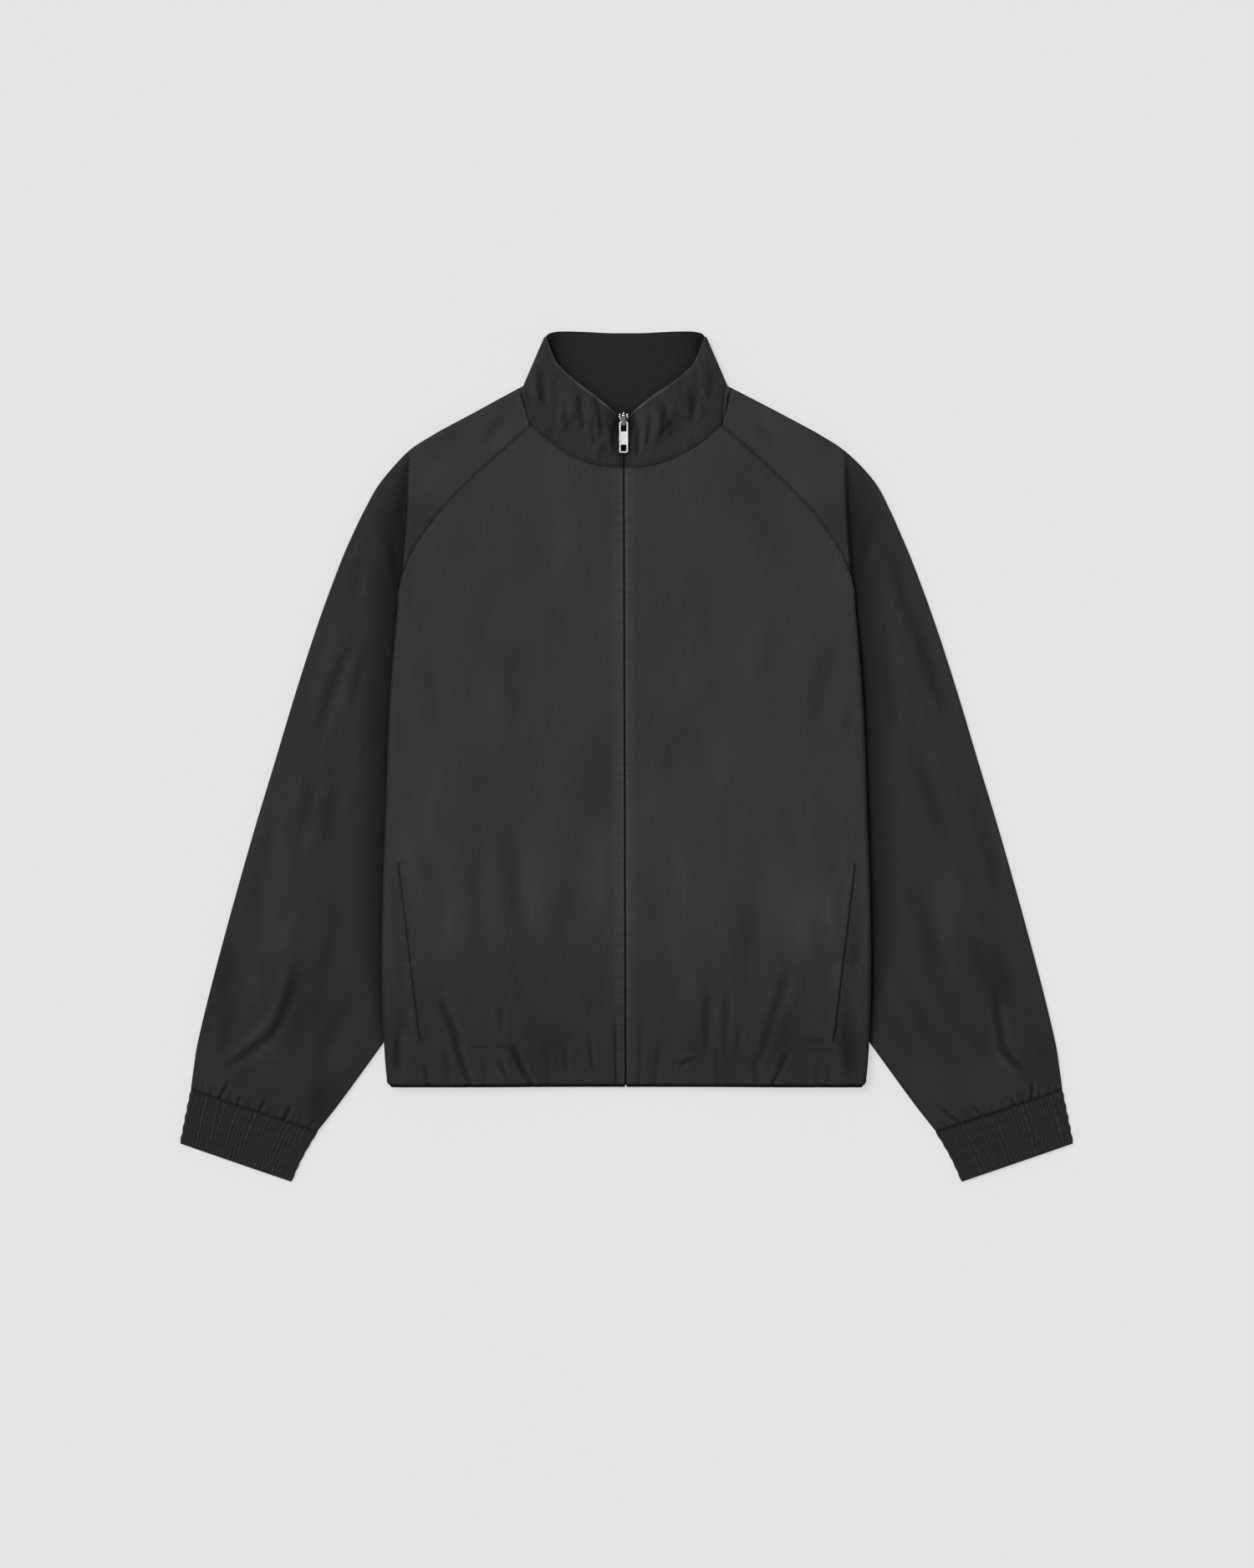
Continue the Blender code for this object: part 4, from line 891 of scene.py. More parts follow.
sleeveDapples = rowsOf(
    dappleColumns,
    (250.0, -60.0, 330.0, 210.0, 70, 15.0, 4.0, 0.26, 118.0),
    (215.0, -60.0, 280.0, 150.0, 30, 18.0, 5.0, 0.2, 108.0),
    (270.0, -220.0, 380.0, -40.0, 44, 24.0, 7.0, 0.42, 106.0),
    (250.0, -330.0, 400.0, -190.0, 30, 22.0, 8.0, 0.6, 112.0),
    (110.0, 200.0, 230.0, 330.0, 26, 20.0, 8.0, 0.4, 130.0))

# Gathers where the cloth is sewn to the cuff: place along the seam from its inner end, and how they run
gathers = {
    1: rowsOf(
        "place long lean wide deep",
        (12.0, 6.0, -4.0, 1.3, 0.7), (24.6, 15.0, -15.4, 1.5, 1.9), (35.0, 7.0, -3.0, 1.3, 0.7),
        (45.8, 9.0, -6.4, 1.5, 1.6), (56.0, 6.0, -1.0, 1.2, 0.8), (66.0, 6.0, 1.0, 1.2, 0.7),
        (77.5, 6.0, -2.0, 1.6, 1.6), (86.0, 6.0, 1.0, 1.2, 0.8), (93.6, 12.0, 7.0, 1.7, 2.3),
        (102.0, 7.0, 2.0, 1.3, 0.8), (111.3, 6.0, 3.2, 1.5, 1.6), (118.0, 5.0, 2.0, 1.2, 0.7)),
    -1: rowsOf(
        "place long lean wide deep",
        (9.0, 9.0, -5.0, 1.5, 1.0), (20.0, 7.0, -3.0, 1.3, 0.8), (32.5, 11.0, -1.5, 2.0, 2.2),
        (41.0, 7.0, 0.0, 1.2, 0.7), (48.0, 6.0, -1.0, 1.3, 0.9), (57.3, 11.0, -2.5, 1.7, 1.7),
        (67.0, 9.0, 2.0, 1.6, 0.8), (78.5, 6.0, 0.0, 1.6, 2.0), (87.0, 7.0, 2.0, 1.3, 0.8),
        (96.4, 14.0, -4.0, 1.8, 2.2), (105.0, 7.0, 2.0, 1.3, 0.8), (113.0, 8.0, 3.0, 1.5, 1.0)),
}
cuffSeamIn, cuffSeamOut = np.array([289.0, -350.3]), np.array([406.6, -311.0])
cuffAcross = unitOf(cuffSeamOut - cuffSeamIn)
cuffUp = np.array([-cuffAcross[1], cuffAcross[0]])


def gatherRows(table):  # the gathers as crease rows, each running down to the cuff seam
    low = cuffSeamIn + cuffAcross * table["place"][:, None]
    high = low + cuffUp * table["long"][:, None] * 1.5 + cuffAcross * table["lean"][:, None]
    still = np.zeros(len(low))
    values = (*high.T, *low.T, table["wide"], table["deep"], still, still + 1.0)
    return dict(zip(creaseColumns.split(), values))


def lineEnds(row, columns, last):
    # a sleeve line's end: on the raglan seam up to its last row, then on the underarm
    numbers = np.arange(len(sleeveLines["frontX"]), dtype=float)
    found = []
    for column in columns.split():
        values = sleeveLines[column]
        onSeam = through(numbers[:last + 1], values[:last + 1], np.minimum(row, last))
        onUnderarm = through(numbers[last:], values[last:], np.maximum(row, last))
        found.append(np.where(row <= last, onSeam, onUnderarm))
    return found


def sleeveGrid(side):
    # Each line goes from the raglan seam or underarm out over the top, half a circle round the outer edge,
    # and back along the floor to the back raglan seam or underarm. The relief is added to the top alone,
    # where it lies loose, and painted shade darkens the tone as a ramp beside the body with a bell at the
    # contact.
    size = sleeve
    numbers = np.arange(len(sleeveLines["outerX"]), dtype=float)
    run = lengthRun(sleeveLines["outerX"], sleeveLines["outerY"])
    row = np.interp(np.linspace(0.0, run[-1], size["rows"]), run, numbers)[:, None]
    fx, fy = lineEnds(row, "frontX frontY", frontSeamRow)
    bx, by = lineEnds(row, "backX backY", backSeamRow)
    ox, oy = through(numbers, sleeveLines["outerX"], row), through(numbers, sleeveLines["outerY"], row)
    towardFront = unitOf(np.hstack((ox - fx, oy - fy)))
    towardBack = unitOf(np.hstack((ox - bx, oy - by)))
    out = unitOf(towardFront + towardBack)
    high = sleeveHeight(ox, oy, ox)
    atCuff = ease((row - numbers[-1] + 0.9) / 0.9)
    high = blend(high, lie["cuffLayer"], atCuff)
    radius = (high - lie["floorLayer"]) / 2.0
    angle = np.linspace(math.pi / 2.0, -math.pi / 2.0, size["turnColumns"] + 1)[None]
    reach = radius * (np.cos(angle) - 1.0)
    turnX, turnY = ox + out[:, :1] * reach, oy + out[:, 1:] * reach
    turnZ = lie["floorLayer"] + radius * (1.0 + np.sin(angle))
    part = np.linspace(0.0, 1.0, size["frontColumns"] + 1)[None, :-1]
    x, y = blend(fx, turnX[:, :1], part), blend(fy, turnY[:, :1], part)
    z = sleeveHeight(x, y, ox)
    above = (x - cuffSeamIn[0]) * cuffUp[0] + (y - cuffSeamIn[1]) * cuffUp[1]  # distance from the cuff seam
    z = blend(z, lie["cuffLayer"] + 1.2 * np.sin(math.pi * part), 1.0 - ease(above / 26.0))
    z = z + 2.0 * np.sin(math.pi * part) ** 0.8 * ease(above / 12.0) * (1.0 - ease((above - 20.0) / 70.0))
    beside = x - through(sideEdge["y"], sideEdge["x"], y)
    loose = np.minimum(1.0, np.maximum(ease(beside / 10.0), ease((y - 160.0) / 16.0)))
    relief = creases(sleeveCreases[side], x, y, side) + creases(gatherRows(gathers[side]), x, y, side)
    relief = relief + dapples(x, y, sleeveDapples, 81 + side)
    alongCuff = x * cuffAcross[0] + y * cuffAcross[1]
    relief = relief + puckers(alongCuff, above, 91 + side, 4.6, (150.0, 290.0), 9.0, 0.5)
    seam = part * np.hypot(ox - fx, oy - fy)
    relief = relief - 0.8 * hump(seam / 1.6) * ease((y - 160.0) / 8.0)
    relief = relief - 0.8 * hump(row * 13.0)
    z = z + relief * loose * (1.0 - ease((part - 0.9) / 0.1))
    z = blend(z, high, ease((part - 0.86) / 0.14))
    z = np.maximum(z, lie["tuckedLayer"] - 0.6)
    lowPart = np.linspace(0.0, 1.0, size["backColumns"] + 1)[None, 1:]
    lowX, lowY = blend(turnX[:, -1:], bx, lowPart), blend(turnY[:, -1:], by, lowPart)
    pressed = np.minimum(np.abs(dapples(lowX, lowY, underDapples, 96 + side)), 0.4)
    pressed = pressed * np.sin(math.pi * lowPart)
    # painted shade beside the body: a ramp, with a bell at the contact
    wide = blend(12.0, 30.0, ease((y + 240.0) / 90.0)) + 8.0 * ease((y - 120.0) / 60.0)
    strength = 0.78 * ease((y + 275.0) / 40.0) * ease((300.0 - y) / 56.0)
    shade = 1.0 - strength * (1.0 - np.clip(beside / wide, 0.0, 1.0)) * ease((beside + 2.0) / 2.0)
    contact = hump(beside / np.where(beside < 0.0, 0.8, 2.4))
    contact = contact * ease((y + 290.0) / 20.0) * ease((296.0 - y) / 26.0)
    shade = shade * (1.0 - 0.65 * contact)
    # painted shade along the lower inner edge and at the cuff seam, a painted highlight on the shoulder, and
    # darker towards the cuff
    innerEdge = 1.0 - 0.45 * hump(seam / 1.4) * ease((-270.0 - y) / 12.0)
    level = (1.0 - 0.5 * hump(above)) * (1.0 + 0.33 * ease((y - 215.0) / 40.0))
    level = level * (1.0 - 0.12 * ease((-150.0 - y) / 70.0))
    upperTone = toneOf(relief * loose) * shade * innerEdge * level * shades(sleeveShades[side], x, y)
    # painted shade round the outer edge's turn
    turnTone = upperTone[:, -1:] * (1.0 - 0.5 * np.cos(angle) ** 2)
    lowTone = np.concatenate((turnTone, toneOf(-pressed)), axis=1)
    points = np.concatenate((np.stack([x, y, z], axis=2), np.stack([turnX, turnY, turnZ], axis=2),
                             np.stack([lowX, lowY, lie["floorLayer"] + pressed], axis=2)), axis=1)
    steps = np.linalg.norm(np.diff(points, axis=1), axis=2)
    across = np.concatenate((np.zeros((len(points), 1)), np.cumsum(steps, axis=1)), axis=1)
    along = np.broadcast_to(np.linspace(0.0, run[-1], size["rows"])[:, None], across.shape)
    return points, placed(across, -along, np.concatenate((upperTone, lowTone), axis=1))


def makeSleeve(side, word):
    points, place = sleeveGrid(side)
    points, place = mirrored(points, side), mirrored(place, side)
    piece = addCloth("sleeve" + word, points, place, sleeveCloth, sleeve["wall"])
    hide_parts("sleeve_" + word.lower())
    return piece


sleeves = {side: makeSleeve(side, word) for side, word in ((1, "Left"), (-1, "Right"))}
print("sleeves made")


# Cuffs
cuff = {
    "endIn": (313.4, -396.9),
    "endOut": (416.8, -361.4),
    "ribs": 36,
    "ribHigh": 1.2,
    "wall": 0.9,
    "seamGap": 0.25,       # from the sleeve's end
    "topColumns": 232,
    "lowColumns": 110,
    "turnColumns": 10,
    "rows": 44,
    "swell": 0.9,
    "sunk": 0.25,          # how far the ribs' own middle lies below the sleeve's layer
    "stitchHigh": 2.92,    # of the elastic stitching above the cuff's base
    "stitchRows": 4,
    "flat": (0.262, 0.046),
}


def cuffRibs(part, t, seed):
    # ribs as cosine waves of uneven pitch whose phase drifts along the cuff, a little lower on each
    # row of elastic stitching
    draw = np.random.default_rng(seed)
    phase = cuff["ribs"] * part
    for _ in range(4):
        waves, start = draw.uniform(2.0, 9.0), draw.uniform(0.0, 2.0 * math.pi)
        phase = phase + 0.22 * np.sin(2.0 * math.pi * waves * part + start + t * draw.uniform(-3.5, 3.5))
    phase = phase + 0.32 * patchwork(part, t, seed + 200, 19, 7)
    rows = 0.5 - 0.5 * np.cos(2.0 * math.pi * t * (cuff["stitchRows"] + 1))
    tall = 0.3 + 0.7 * patchwork(part, t, seed + 201, 62, 13)
    crest = 0.5 - 0.5 * np.cos(2.0 * math.pi * phase)
    return tall * crest ** 0.85 * (0.5 + 0.5 * rows)


def makeCuff(side, word):
    # rings round a flattened tube: over the ribbed top, half a circle, under, and half a circle back
    size = cuff
    t = np.linspace(0.0, 1.0, size["rows"])[:, None]
    scallop = 0.7 * np.sin(math.pi * t * (size["stitchRows"] + 1)) ** 2
    inX, inY = (blend(cuffSeamIn[k], size["endIn"][k], t) for k in (0, 1))
    outX, outY = (blend(cuffSeamOut[k], size["endOut"][k], t) for k in (0, 1))
    inX = inX + 1.6 * np.sin(math.pi * t) - 0.7 * scallop
    outX = outX + 0.2 * np.sin(math.pi * t) + scallop - 0.3
    width = np.hypot(outX - inX, outY - inY)
    radius = (lie["cuffLayer"] - lie["floorLayer"]) / 2.0
    base = lie["floorLayer"] - size["sunk"]
    topPart = np.linspace(0.0, 1.0, size["topColumns"] + 1)[None]
    lowPart = np.linspace(1.0, 0.0, size["lowColumns"] + 1)[None]
    angle = np.linspace(math.pi / 2.0, -math.pi / 2.0, size["turnColumns"] + 1)[None, 1:-1]
    swell = size["swell"] * np.sin(math.pi * topPart)
    rings, tones = [], []
    for half, share in ((size["wall"] / 2.0, 1.0), (-size["wall"] / 2.0, 0.75)):
        r = radius + half
        topRibs, lowRibs = cuffRibs(topPart, t, 101 + side), cuffRibs(lowPart, t, 105 + side)
        top = size["ribHigh"] * share * (topRibs - 0.25)
        low = size["ribHigh"] * 0.6 * share * lowRibs
        runs = (radius + (width - 2.0 * radius) * topPart, width - radius + r * np.cos(angle),
                radius + (width - 2.0 * radius) * lowPart, radius - r * np.cos(angle[:, ::-1]))
        ones = np.ones_like(t)
        heights = (base + radius + r + swell + top, (base + radius + r * np.sin(angle)) * ones,
                   base + radius - r + low, (base + radius + r * np.sin(angle[:, ::-1])) * ones)
        run, z = np.concatenate([piece * ones for piece in runs], axis=1), np.concatenate(heights, axis=1)
        rings.append(np.stack([blend(inX, outX, run / width), blend(inY, outY, run / width), z], axis=2))
        # painted highlight on the rib crests, painted shade between them and along the seam
        edge = 0.5 + 0.0 * angle
        crest = np.concatenate([piece * ones for piece in (topRibs, edge, lowRibs, edge)], axis=1)
        tones.append((0.63 + 0.98 * crest) * (1.0 - 0.35 * hump(t / 0.03)))
    points = np.concatenate((rings[0], rings[1][::-1]))
    atSeam = 1.0 - np.concatenate((t, t[::-1]))
    for k in (0, 1):
        points[..., k] += -cuffUp[k] * size["seamGap"] * atSeam
    around = np.concatenate((run, width + 0.0 * run), axis=0)[:len(points)]
    along = np.concatenate((t, t[::-1])) * 50.0 + 0.0 * points[..., 0]
    place = placed(around, along, np.concatenate((tones[0], tones[1][::-1])))
    points = askew(mirrored(points, side))
    faces = gridFaces(*points.shape[:2], roundU=True, roundV=True)
    if side < 0:
        faces = faces[:, ::-1]
    piece = addPiece("cuff" + word, points, faces, cuffCloth, place=place)
    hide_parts("cuff_" + word.lower())
    return piece


cuffs = {side: makeCuff(side, word) for side, word in ((1, "Left"), (-1, "Right"))}
print("cuffs made")


# Collar
collar = {
    "wall": 1.7,
    "rows": 34,
    "frontColumns": 84,
    "sideColumns": 24,
    "turnColumns": 14,
    "backColumns": 62,
    "foot": (94.6, 345.8),       # where the side fold meets the shoulder
    "tip": (74.8, 391.4),        # and where it ends at the free edge
    "tipOut": (0.55, 0.83),      # the way its fold bulges out there
    "tipHigh": 9.0,
    "frontShare": 0.75,          # of the way from the zip to the tip that follows the front neck
    "backSeamY": 337.0,
    "bulge": 1.1,
    "flat": (0.476, 0.060),
    "area": 0.024,
}

collarBackEdge = rowsOf(
    "part x y",
    (0.00, 73.8, 392.9), (0.05, 71.2, 395.0), (0.12, 65.4, 396.5), (0.20, 58.0, 397.0),
    (0.30, 50.0, 396.9), (0.50, 36.0, 396.4), (0.78, 15.0, 395.4), (1.00, 0.0, 395.3))

collarCreases = {
    1: rowsOf(
        creaseColumns,
        (64.0, 352.0, 58.0, 306.0, 3.4, 0.9, 2.0, 0), (40.0, 340.0, 33.0, 292.0, 3.0, 1.0, -2.0, 0),
        (22.0, 326.0, 18.0, 284.0, 2.6, 0.9, 1.0, 0), (80.0, 366.0, 77.0, 328.0, 3.2, 0.6, 1.0, 0),
        (46.0, 318.0, 28.0, 298.0, 2.4, 0.8, 1.0, 0), (11.0, 312.0, 10.0, 276.0, 2.4, 1.0, 0.0, 0)),
    -1: rowsOf(
        creaseColumns,
        (79.0, 368.0, 75.0, 322.0, 3.4, 1.1, 2.0, 0), (44.0, 346.0, 39.0, 300.0, 3.0, 0.9, 1.0, 0),
        (27.0, 339.0, 22.0, 296.0, 2.4, 1.0, 1.0, 0), (60.0, 344.0, 56.0, 296.0, 3.0, 0.6, -1.0, 0),
        (13.0, 314.0, 11.0, 276.0, 2.6, 1.2, 0.0, 0), (34.0, 318.0, 29.0, 284.0, 2.6, 0.7, 0.0, 0)),
}

collarShades = {
    1: rowsOf("x y long wide heading share",
              (40.0, 308.0, 15.0, 7.0, 50.0, 0.42), (58.0, 330.0, 22.0, 4.0, 100.0, 0.22),
              (38.0, 312.0, 20.0, 3.5, 96.0, 0.22), (80.0, 350.0, 22.0, 4.0, 104.0, 0.16)),
    -1: rowsOf("x y long wide heading share",
               (14.0, 302.0, 13.0, 4.5, 85.0, 0.42), (46.0, 318.0, 22.0, 4.0, 96.0, 0.22),
               (66.0, 326.0, 22.0, 4.0, 100.0, 0.18), (78.0, 344.0, 26.0, 4.0, 104.0, 0.2)),
}

collarDapples = rowsOf(
    dappleColumns,
    (8.0, 275.0, 90.0, 380.0, 70, 10.0, 2.8, 0.7, 98.0))


def foldRound(tip, out, high, low, columns):  # half a circle from the upper layer to the lower one
    radius = (high - low) / 2.0
    angle = np.linspace(math.pi / 2.0, -math.pi / 2.0, columns)
    reach = radius * (np.cos(angle) - 1.0)
    high = low + radius * (1.0 + np.sin(angle))
    return np.stack([tip[0] + out[0] * reach, tip[1] + out[1] * reach, high], axis=1)


def collarHalf(side):
    # seam line and free edge, from the zip along the front neck, up to the side fold, round it, and to
    # the middle of the back; the collar is ruled between them, bulged like a half sine
    size = collar
    low = size["wall"] / 2.0 + 0.15
    share = size["frontShare"]
    part = np.concatenate((np.linspace(0.0, share, size["frontColumns"]),
                           np.linspace(share, 1.0, size["sideColumns"] + 1)[1:]))
    seamX, seamY = neckSeam(np.minimum(part / share, 1.0), side)
    up = np.clip((part - share) / (1.0 - share), 0.0, 1.0)
    corners = ([sleeveLines[face + axis][0] for axis in "XY"] for face in ("front", "back"))
    outFront, outBack = (unitOf(np.array(size["foot"]) - corner) for corner in corners)
    seamTurn = foldRound(size["foot"], unitOf(outFront + outBack), lie["frontLayer"], low, size["turnColumns"])
    tipOut = unitOf(np.array(size["tipOut"]))
    freeTurn = foldRound(size["tip"], tipOut, size["tipHigh"], low, size["turnColumns"])
    seamX, seamY = blend(seamX, seamTurn[0, 0], up), blend(seamY, seamTurn[0, 1], up)
    seam = np.stack([seamX, seamY, np.full(len(part), lie["frontLayer"])], axis=1)
    free = np.stack([through(collarEdge["part"], collarEdge[k], part) for k in "xyz"], axis=1)
    free[:, 0] += (1.0 - ease(part / share)) * side * zipX(free[:, 1])
    free[:, :2] += (freeTurn[0, :2] - np.array(size["tip"])) * ease((part - 0.6) / 0.4)[:, None]
    part = np.linspace(0.0, 1.0, size["backColumns"] + 1)[1:]
    backX = blend(seamTurn[-1, 0], 0.0, part)
    backY = size["backSeamY"] + lie["backDrop"] * (backX / lie["footX"]) ** 2
    seamBack = np.stack([backX, backY, np.full(len(part), low)], axis=1)
    freeBack = np.stack([through(collarBackEdge["part"], collarBackEdge[k], part) for k in "xy"]
                        + [np.full(len(part), low)], axis=1)
    return np.concatenate((seam, seamTurn[1:], seamBack)), np.concatenate((free, freeTurn[1:], freeBack))


# Places across the strip: even up to the stitching, then closer together at the free edge
collarRise = np.concatenate((np.linspace(0.0, 0.94, collar["rows"] - 4), (0.956, 0.972, 0.986, 1.0)))


def collarGrid():
    # both halves, each ruled from its seam line to its free edge, with the front edges drawn apart at the
    # zip as a smooth step, and relief that fades round the side fold
    halves = []
    rise = collarRise[:, None, None]
    for side in (-1, 1):
        seam, free = collarHalf(side)
        grid = blend(seam[None], free[None], rise)
        y = grid[:, 0, 1]
        gap = lie["edgeFromZip"] + 2.9 * ease((y - 294.0) / 11.0) + 3.8 * ease((y - 308.0) / 12.0)
        shift = side * zipX(y) + gap - grid[:, 0, 0]
        fade = 1.0 - ease(np.arange(grid.shape[1]) / 36.0)
        grid[..., 0] += shift[:, None] * fade
        front = collar["frontColumns"] + collar["sideColumns"]
        weight = np.concatenate((np.ones(front), np.linspace(1.0, 0.0, collar["turnColumns"]),
                                 np.zeros(grid.shape[1] - front - collar["turnColumns"])))
        x, y = grid[..., 0], grid[..., 1]
        relief = 1.5 * creases(collarCreases[side], x, y, side) + dapples(x, y, collarDapples, 111 + side)
        relief -= 0.7 * hump(rise[..., 0] * 25.0)
        fromZip = x - grid[:, :1, 0]
        relief -= 1.3 * hump(fromZip / 5.0)
        relief += puckers(y, fromZip, 121 + side, 4.2, (272.0, 322.0), 10.0, 0.4)
        grid[..., 2] += (relief + collar["bulge"] * np.sin(math.pi * rise[..., 0])) * weight
        # painted shade beside the pull, in the collar's creases, in the corners inside the V and under its
        # free edge, and a painted highlight along the free edge
        besidePull = hump((fromZip - 2.5) / 5.0) * ease((y - 276.0) / 12.0)
        besidePull = besidePull * (1.0 - 0.6 * ease((y - 312.0) / 6.0))
        zipShade = (1.0 - 0.92 * besidePull) * shades(collarShades[side], x, y)
        rim = ease((rise[..., 0] - 0.96) / 0.014) * (0.45 + 2.0 * hump(fromZip / 26.0))
        corner = 1.0 - 0.45 * ease((np.abs(x) - 38.0) / 34.0)
        corner = corner * (1.0 - 0.5 * ease((np.abs(x) - 60.0) / 10.0) * ease((y - 368.0) / 12.0))
        tone = blend(corner * underEdge(x, y), toneOf(relief) * zipShade * (1.0 + rim), weight)
        grid[..., 0] *= side
        halves.append(np.concatenate((grid, tone[..., None]), axis=2))
    return np.concatenate((halves[0], halves[1][:, -2::-1]), axis=1)


collarPoints, collarTone = np.split(collarGrid(), [3], axis=2)
stripRun = runAlong(collarPoints[0])
collarPlace = placed(stripRun[None], 58.0 * collarRise[:, None], collarTone[..., 0])
stand = addCloth("collarStand", collarPoints, collarPlace, collarCloth, collar["wall"], inner=shadedInsideCloth)
rounding = stand.modifiers.new("Edge", "BEVEL")
rounding.width = 0.0005
rounding.segments = 3
rounding.limit_method = "ANGLE"
rounding.angle_limit = math.radians(60.0)
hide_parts("collar")
print("collar made")


# Pocket welts
def makeWelt(side, word):
    # a strip on the front's own surface: proud at the slit, sinking into the cloth at its inner side
    part = np.linspace(0.0, 1.0, pocket["rows"])[:, None]
    across = (np.linspace(0.0, 1.0, pocket["columns"]) ** 1.6 * pocket["wide"])[None]
    x = blend(pocket["top"][0], pocket["low"][0], part) - across
    y = blend(pocket["top"][1], pocket["low"][1], part) + 0.0 * across
    ends = ease(part / 0.05) * ease((1.0 - part) / 0.05)
    proud = (pocket["lip"] + pocket["sunk"]) * ends * (1.0 - ease(across / (pocket["wide"] - 2.0)))
    proud = proud - pocket["sunk"]
    relief = frontFolds(side, x, y) + pocketPuckers(side, part, across)
    # painted shade along the slit
    edge = 1.0 - pocket["slitShade"][side] * (1.0 - ease((across - 0.6) / 1.0))
    onTop = frontHeight(x, y) + relief + (frontPanel["wall"] - pocket["wall"]) / 2.0
    points = mirrored(np.stack([x, y, onTop + proud], axis=2), side)
    place = mirrored(placed(x, y, toneOf(relief) * edge * towardHem(y)), side)
    piece = addCloth("pocketWelt" + word, points, place, bodyCloth, pocket["wall"])
    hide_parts("pocket_welt_" + word.lower())
    return piece


welts = {side: makeWelt(side, word) for side, word in ((1, "Left"), (-1, "Right"))}
print("pocket welts made")


# Zip
zipper = {
    "tapeHalf": 12.0,
    "tapeLow": 3.0,
    "tapeHigh": 4.0,
    "toothPitch": 1.27,
    "tooth": (2.6, 0.86, 1.1),    # across, along, tall
    "chainTopY": 305.0,
    "hingeY": 311.7,
    "hingeZ": 8.4,
    "pullHalf": 4.2,
    "pullTop": 0.7,
    "pullLow": -28.8,
    "pullBar": 1.55,
    "pullThick": 1.4,
    "plate": (-21.2, -8.8),
}


def roundedBlock(half, bevel):  # a box of eight corners cut back along its edges: 24 points
    signs = np.array([(sx, sy, sz) for sx in (-1, 1) for sy in (-1, 1) for sz in (-1, 1)], dtype=float)
    work = bmesh.new()
    for corner in signs * np.array(half):
        work.verts.new(corner)
    bmesh.ops.convex_hull(work, input=work.verts)
    bmesh.ops.dissolve_limit(work, angle_limit=0.01, verts=work.verts, edges=work.edges)
    bmesh.ops.bevel(work, geom=work.edges, offset=bevel, segments=1, affect="EDGES", profile=0.5)
    bmesh.ops.triangulate(work, faces=work.faces)
    work.verts.index_update()
    points = np.array([v.co[:] for v in work.verts])
    faces = np.array([[v.index for v in face.verts] for face in work.faces])
    work.free()
    return points, faces


def turnedFrames(angles):  # turns about Z, one matrix for each angle
    c, s = np.cos(angles), np.sin(angles)
    zero, one = np.zeros_like(c), np.ones_like(c)
    return np.stack([np.stack([c, -s, zero], axis=1), np.stack([s, c, zero], axis=1),
                     np.stack([zero, zero, one], axis=1)], axis=1)


def makeTape():
    # a flat strip with a thicker cord beside the teeth on each half: height is a pair of bells
    y = np.linspace(lie["hemY"] + 0.8, lie["zipTopY"], 200)[:, None]
    outer = np.linspace(0.25, 1.0, 8)
    across = np.concatenate((-outer[::-1], np.linspace(-0.25, 0.25, 14)[1:-1], outer))[None]
    x = zipX(y) + across * zipper["tapeHalf"] + 0.0 * y
    middle = (zipper["tapeLow"] + zipper["tapeHigh"]) / 2.0
    off = across * zipper["tapeHalf"]
    z = middle + 0.35 * (hump((off - 2.4) / 0.5) + hump((off + 2.4) / 0.5)) + 0.0 * y
    piece = addCloth("zipTape", np.stack([x, y + 0.0 * x, z], axis=2), placed(x, y), tapeCloth, 0.6)
    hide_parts("zip_tape")
    return piece


def makeTeeth():
    # teeth of both sides in turn, evenly along the zip's line
    y = np.arange(lie["hemY"] + 3.0, zipper["chainTopY"], zipper["toothPitch"])
    side = np.where(np.arange(len(y)) % 2, 0.55, -0.55)
    places = np.stack([zipX(y) + side, y, np.full(len(y), zipper["tapeHigh"] + 0.25)], axis=1)
    unit = roundedBlock(np.array(zipper["tooth"]) / 2.0, 0.18)
    points, faces = copiesOf(*unit, places, turnedFrames(np.zeros(len(y))))
    piece = addPiece("zipTeeth", points, faces, shadedToothMetal)


def makeCrown():
    # the open teeth above the slider, fanned out to both sides, and the slider's own post between them
    fan = rowsOf(
        "x y turn long wide",
        (2.9, 315.2, -0.5, 2.4, 1.4), (3.7, 316.9, -0.1, 2.5, 1.4), (3.4, 318.9, 0.5, 2.5, 1.5),
        (-2.9, 315.2, 0.5, 2.4, 1.4), (-3.7, 316.9, 0.1, 2.5, 1.4), (-3.4, 318.9, -0.5, 2.5, 1.5),
        (0.0, 316.2, 0.0, 3.8, 1.8), (0.0, 318.0, 0.0, 2.9, 1.7), (0.0, 320.0, 0.785, 1.9, 1.9))
    points, faces, count = [], [], 0
    for x, y, turn, long, wide in zip(*fan.values()):
        unit = roundedBlock((long / 2.0, wide / 2.0, 0.9), 0.35)
        place = np.array([[zipX(y) + x, y, zipper["tapeHigh"] + 1.2]])
        more, triangles = copiesOf(*unit, place, turnedFrames(np.array([turn])))
        points.append(more)
        faces.append(triangles + count)
        count += len(more)
    piece = addPiece("zipCrown", np.concatenate(points), np.concatenate(faces), silverMetal)


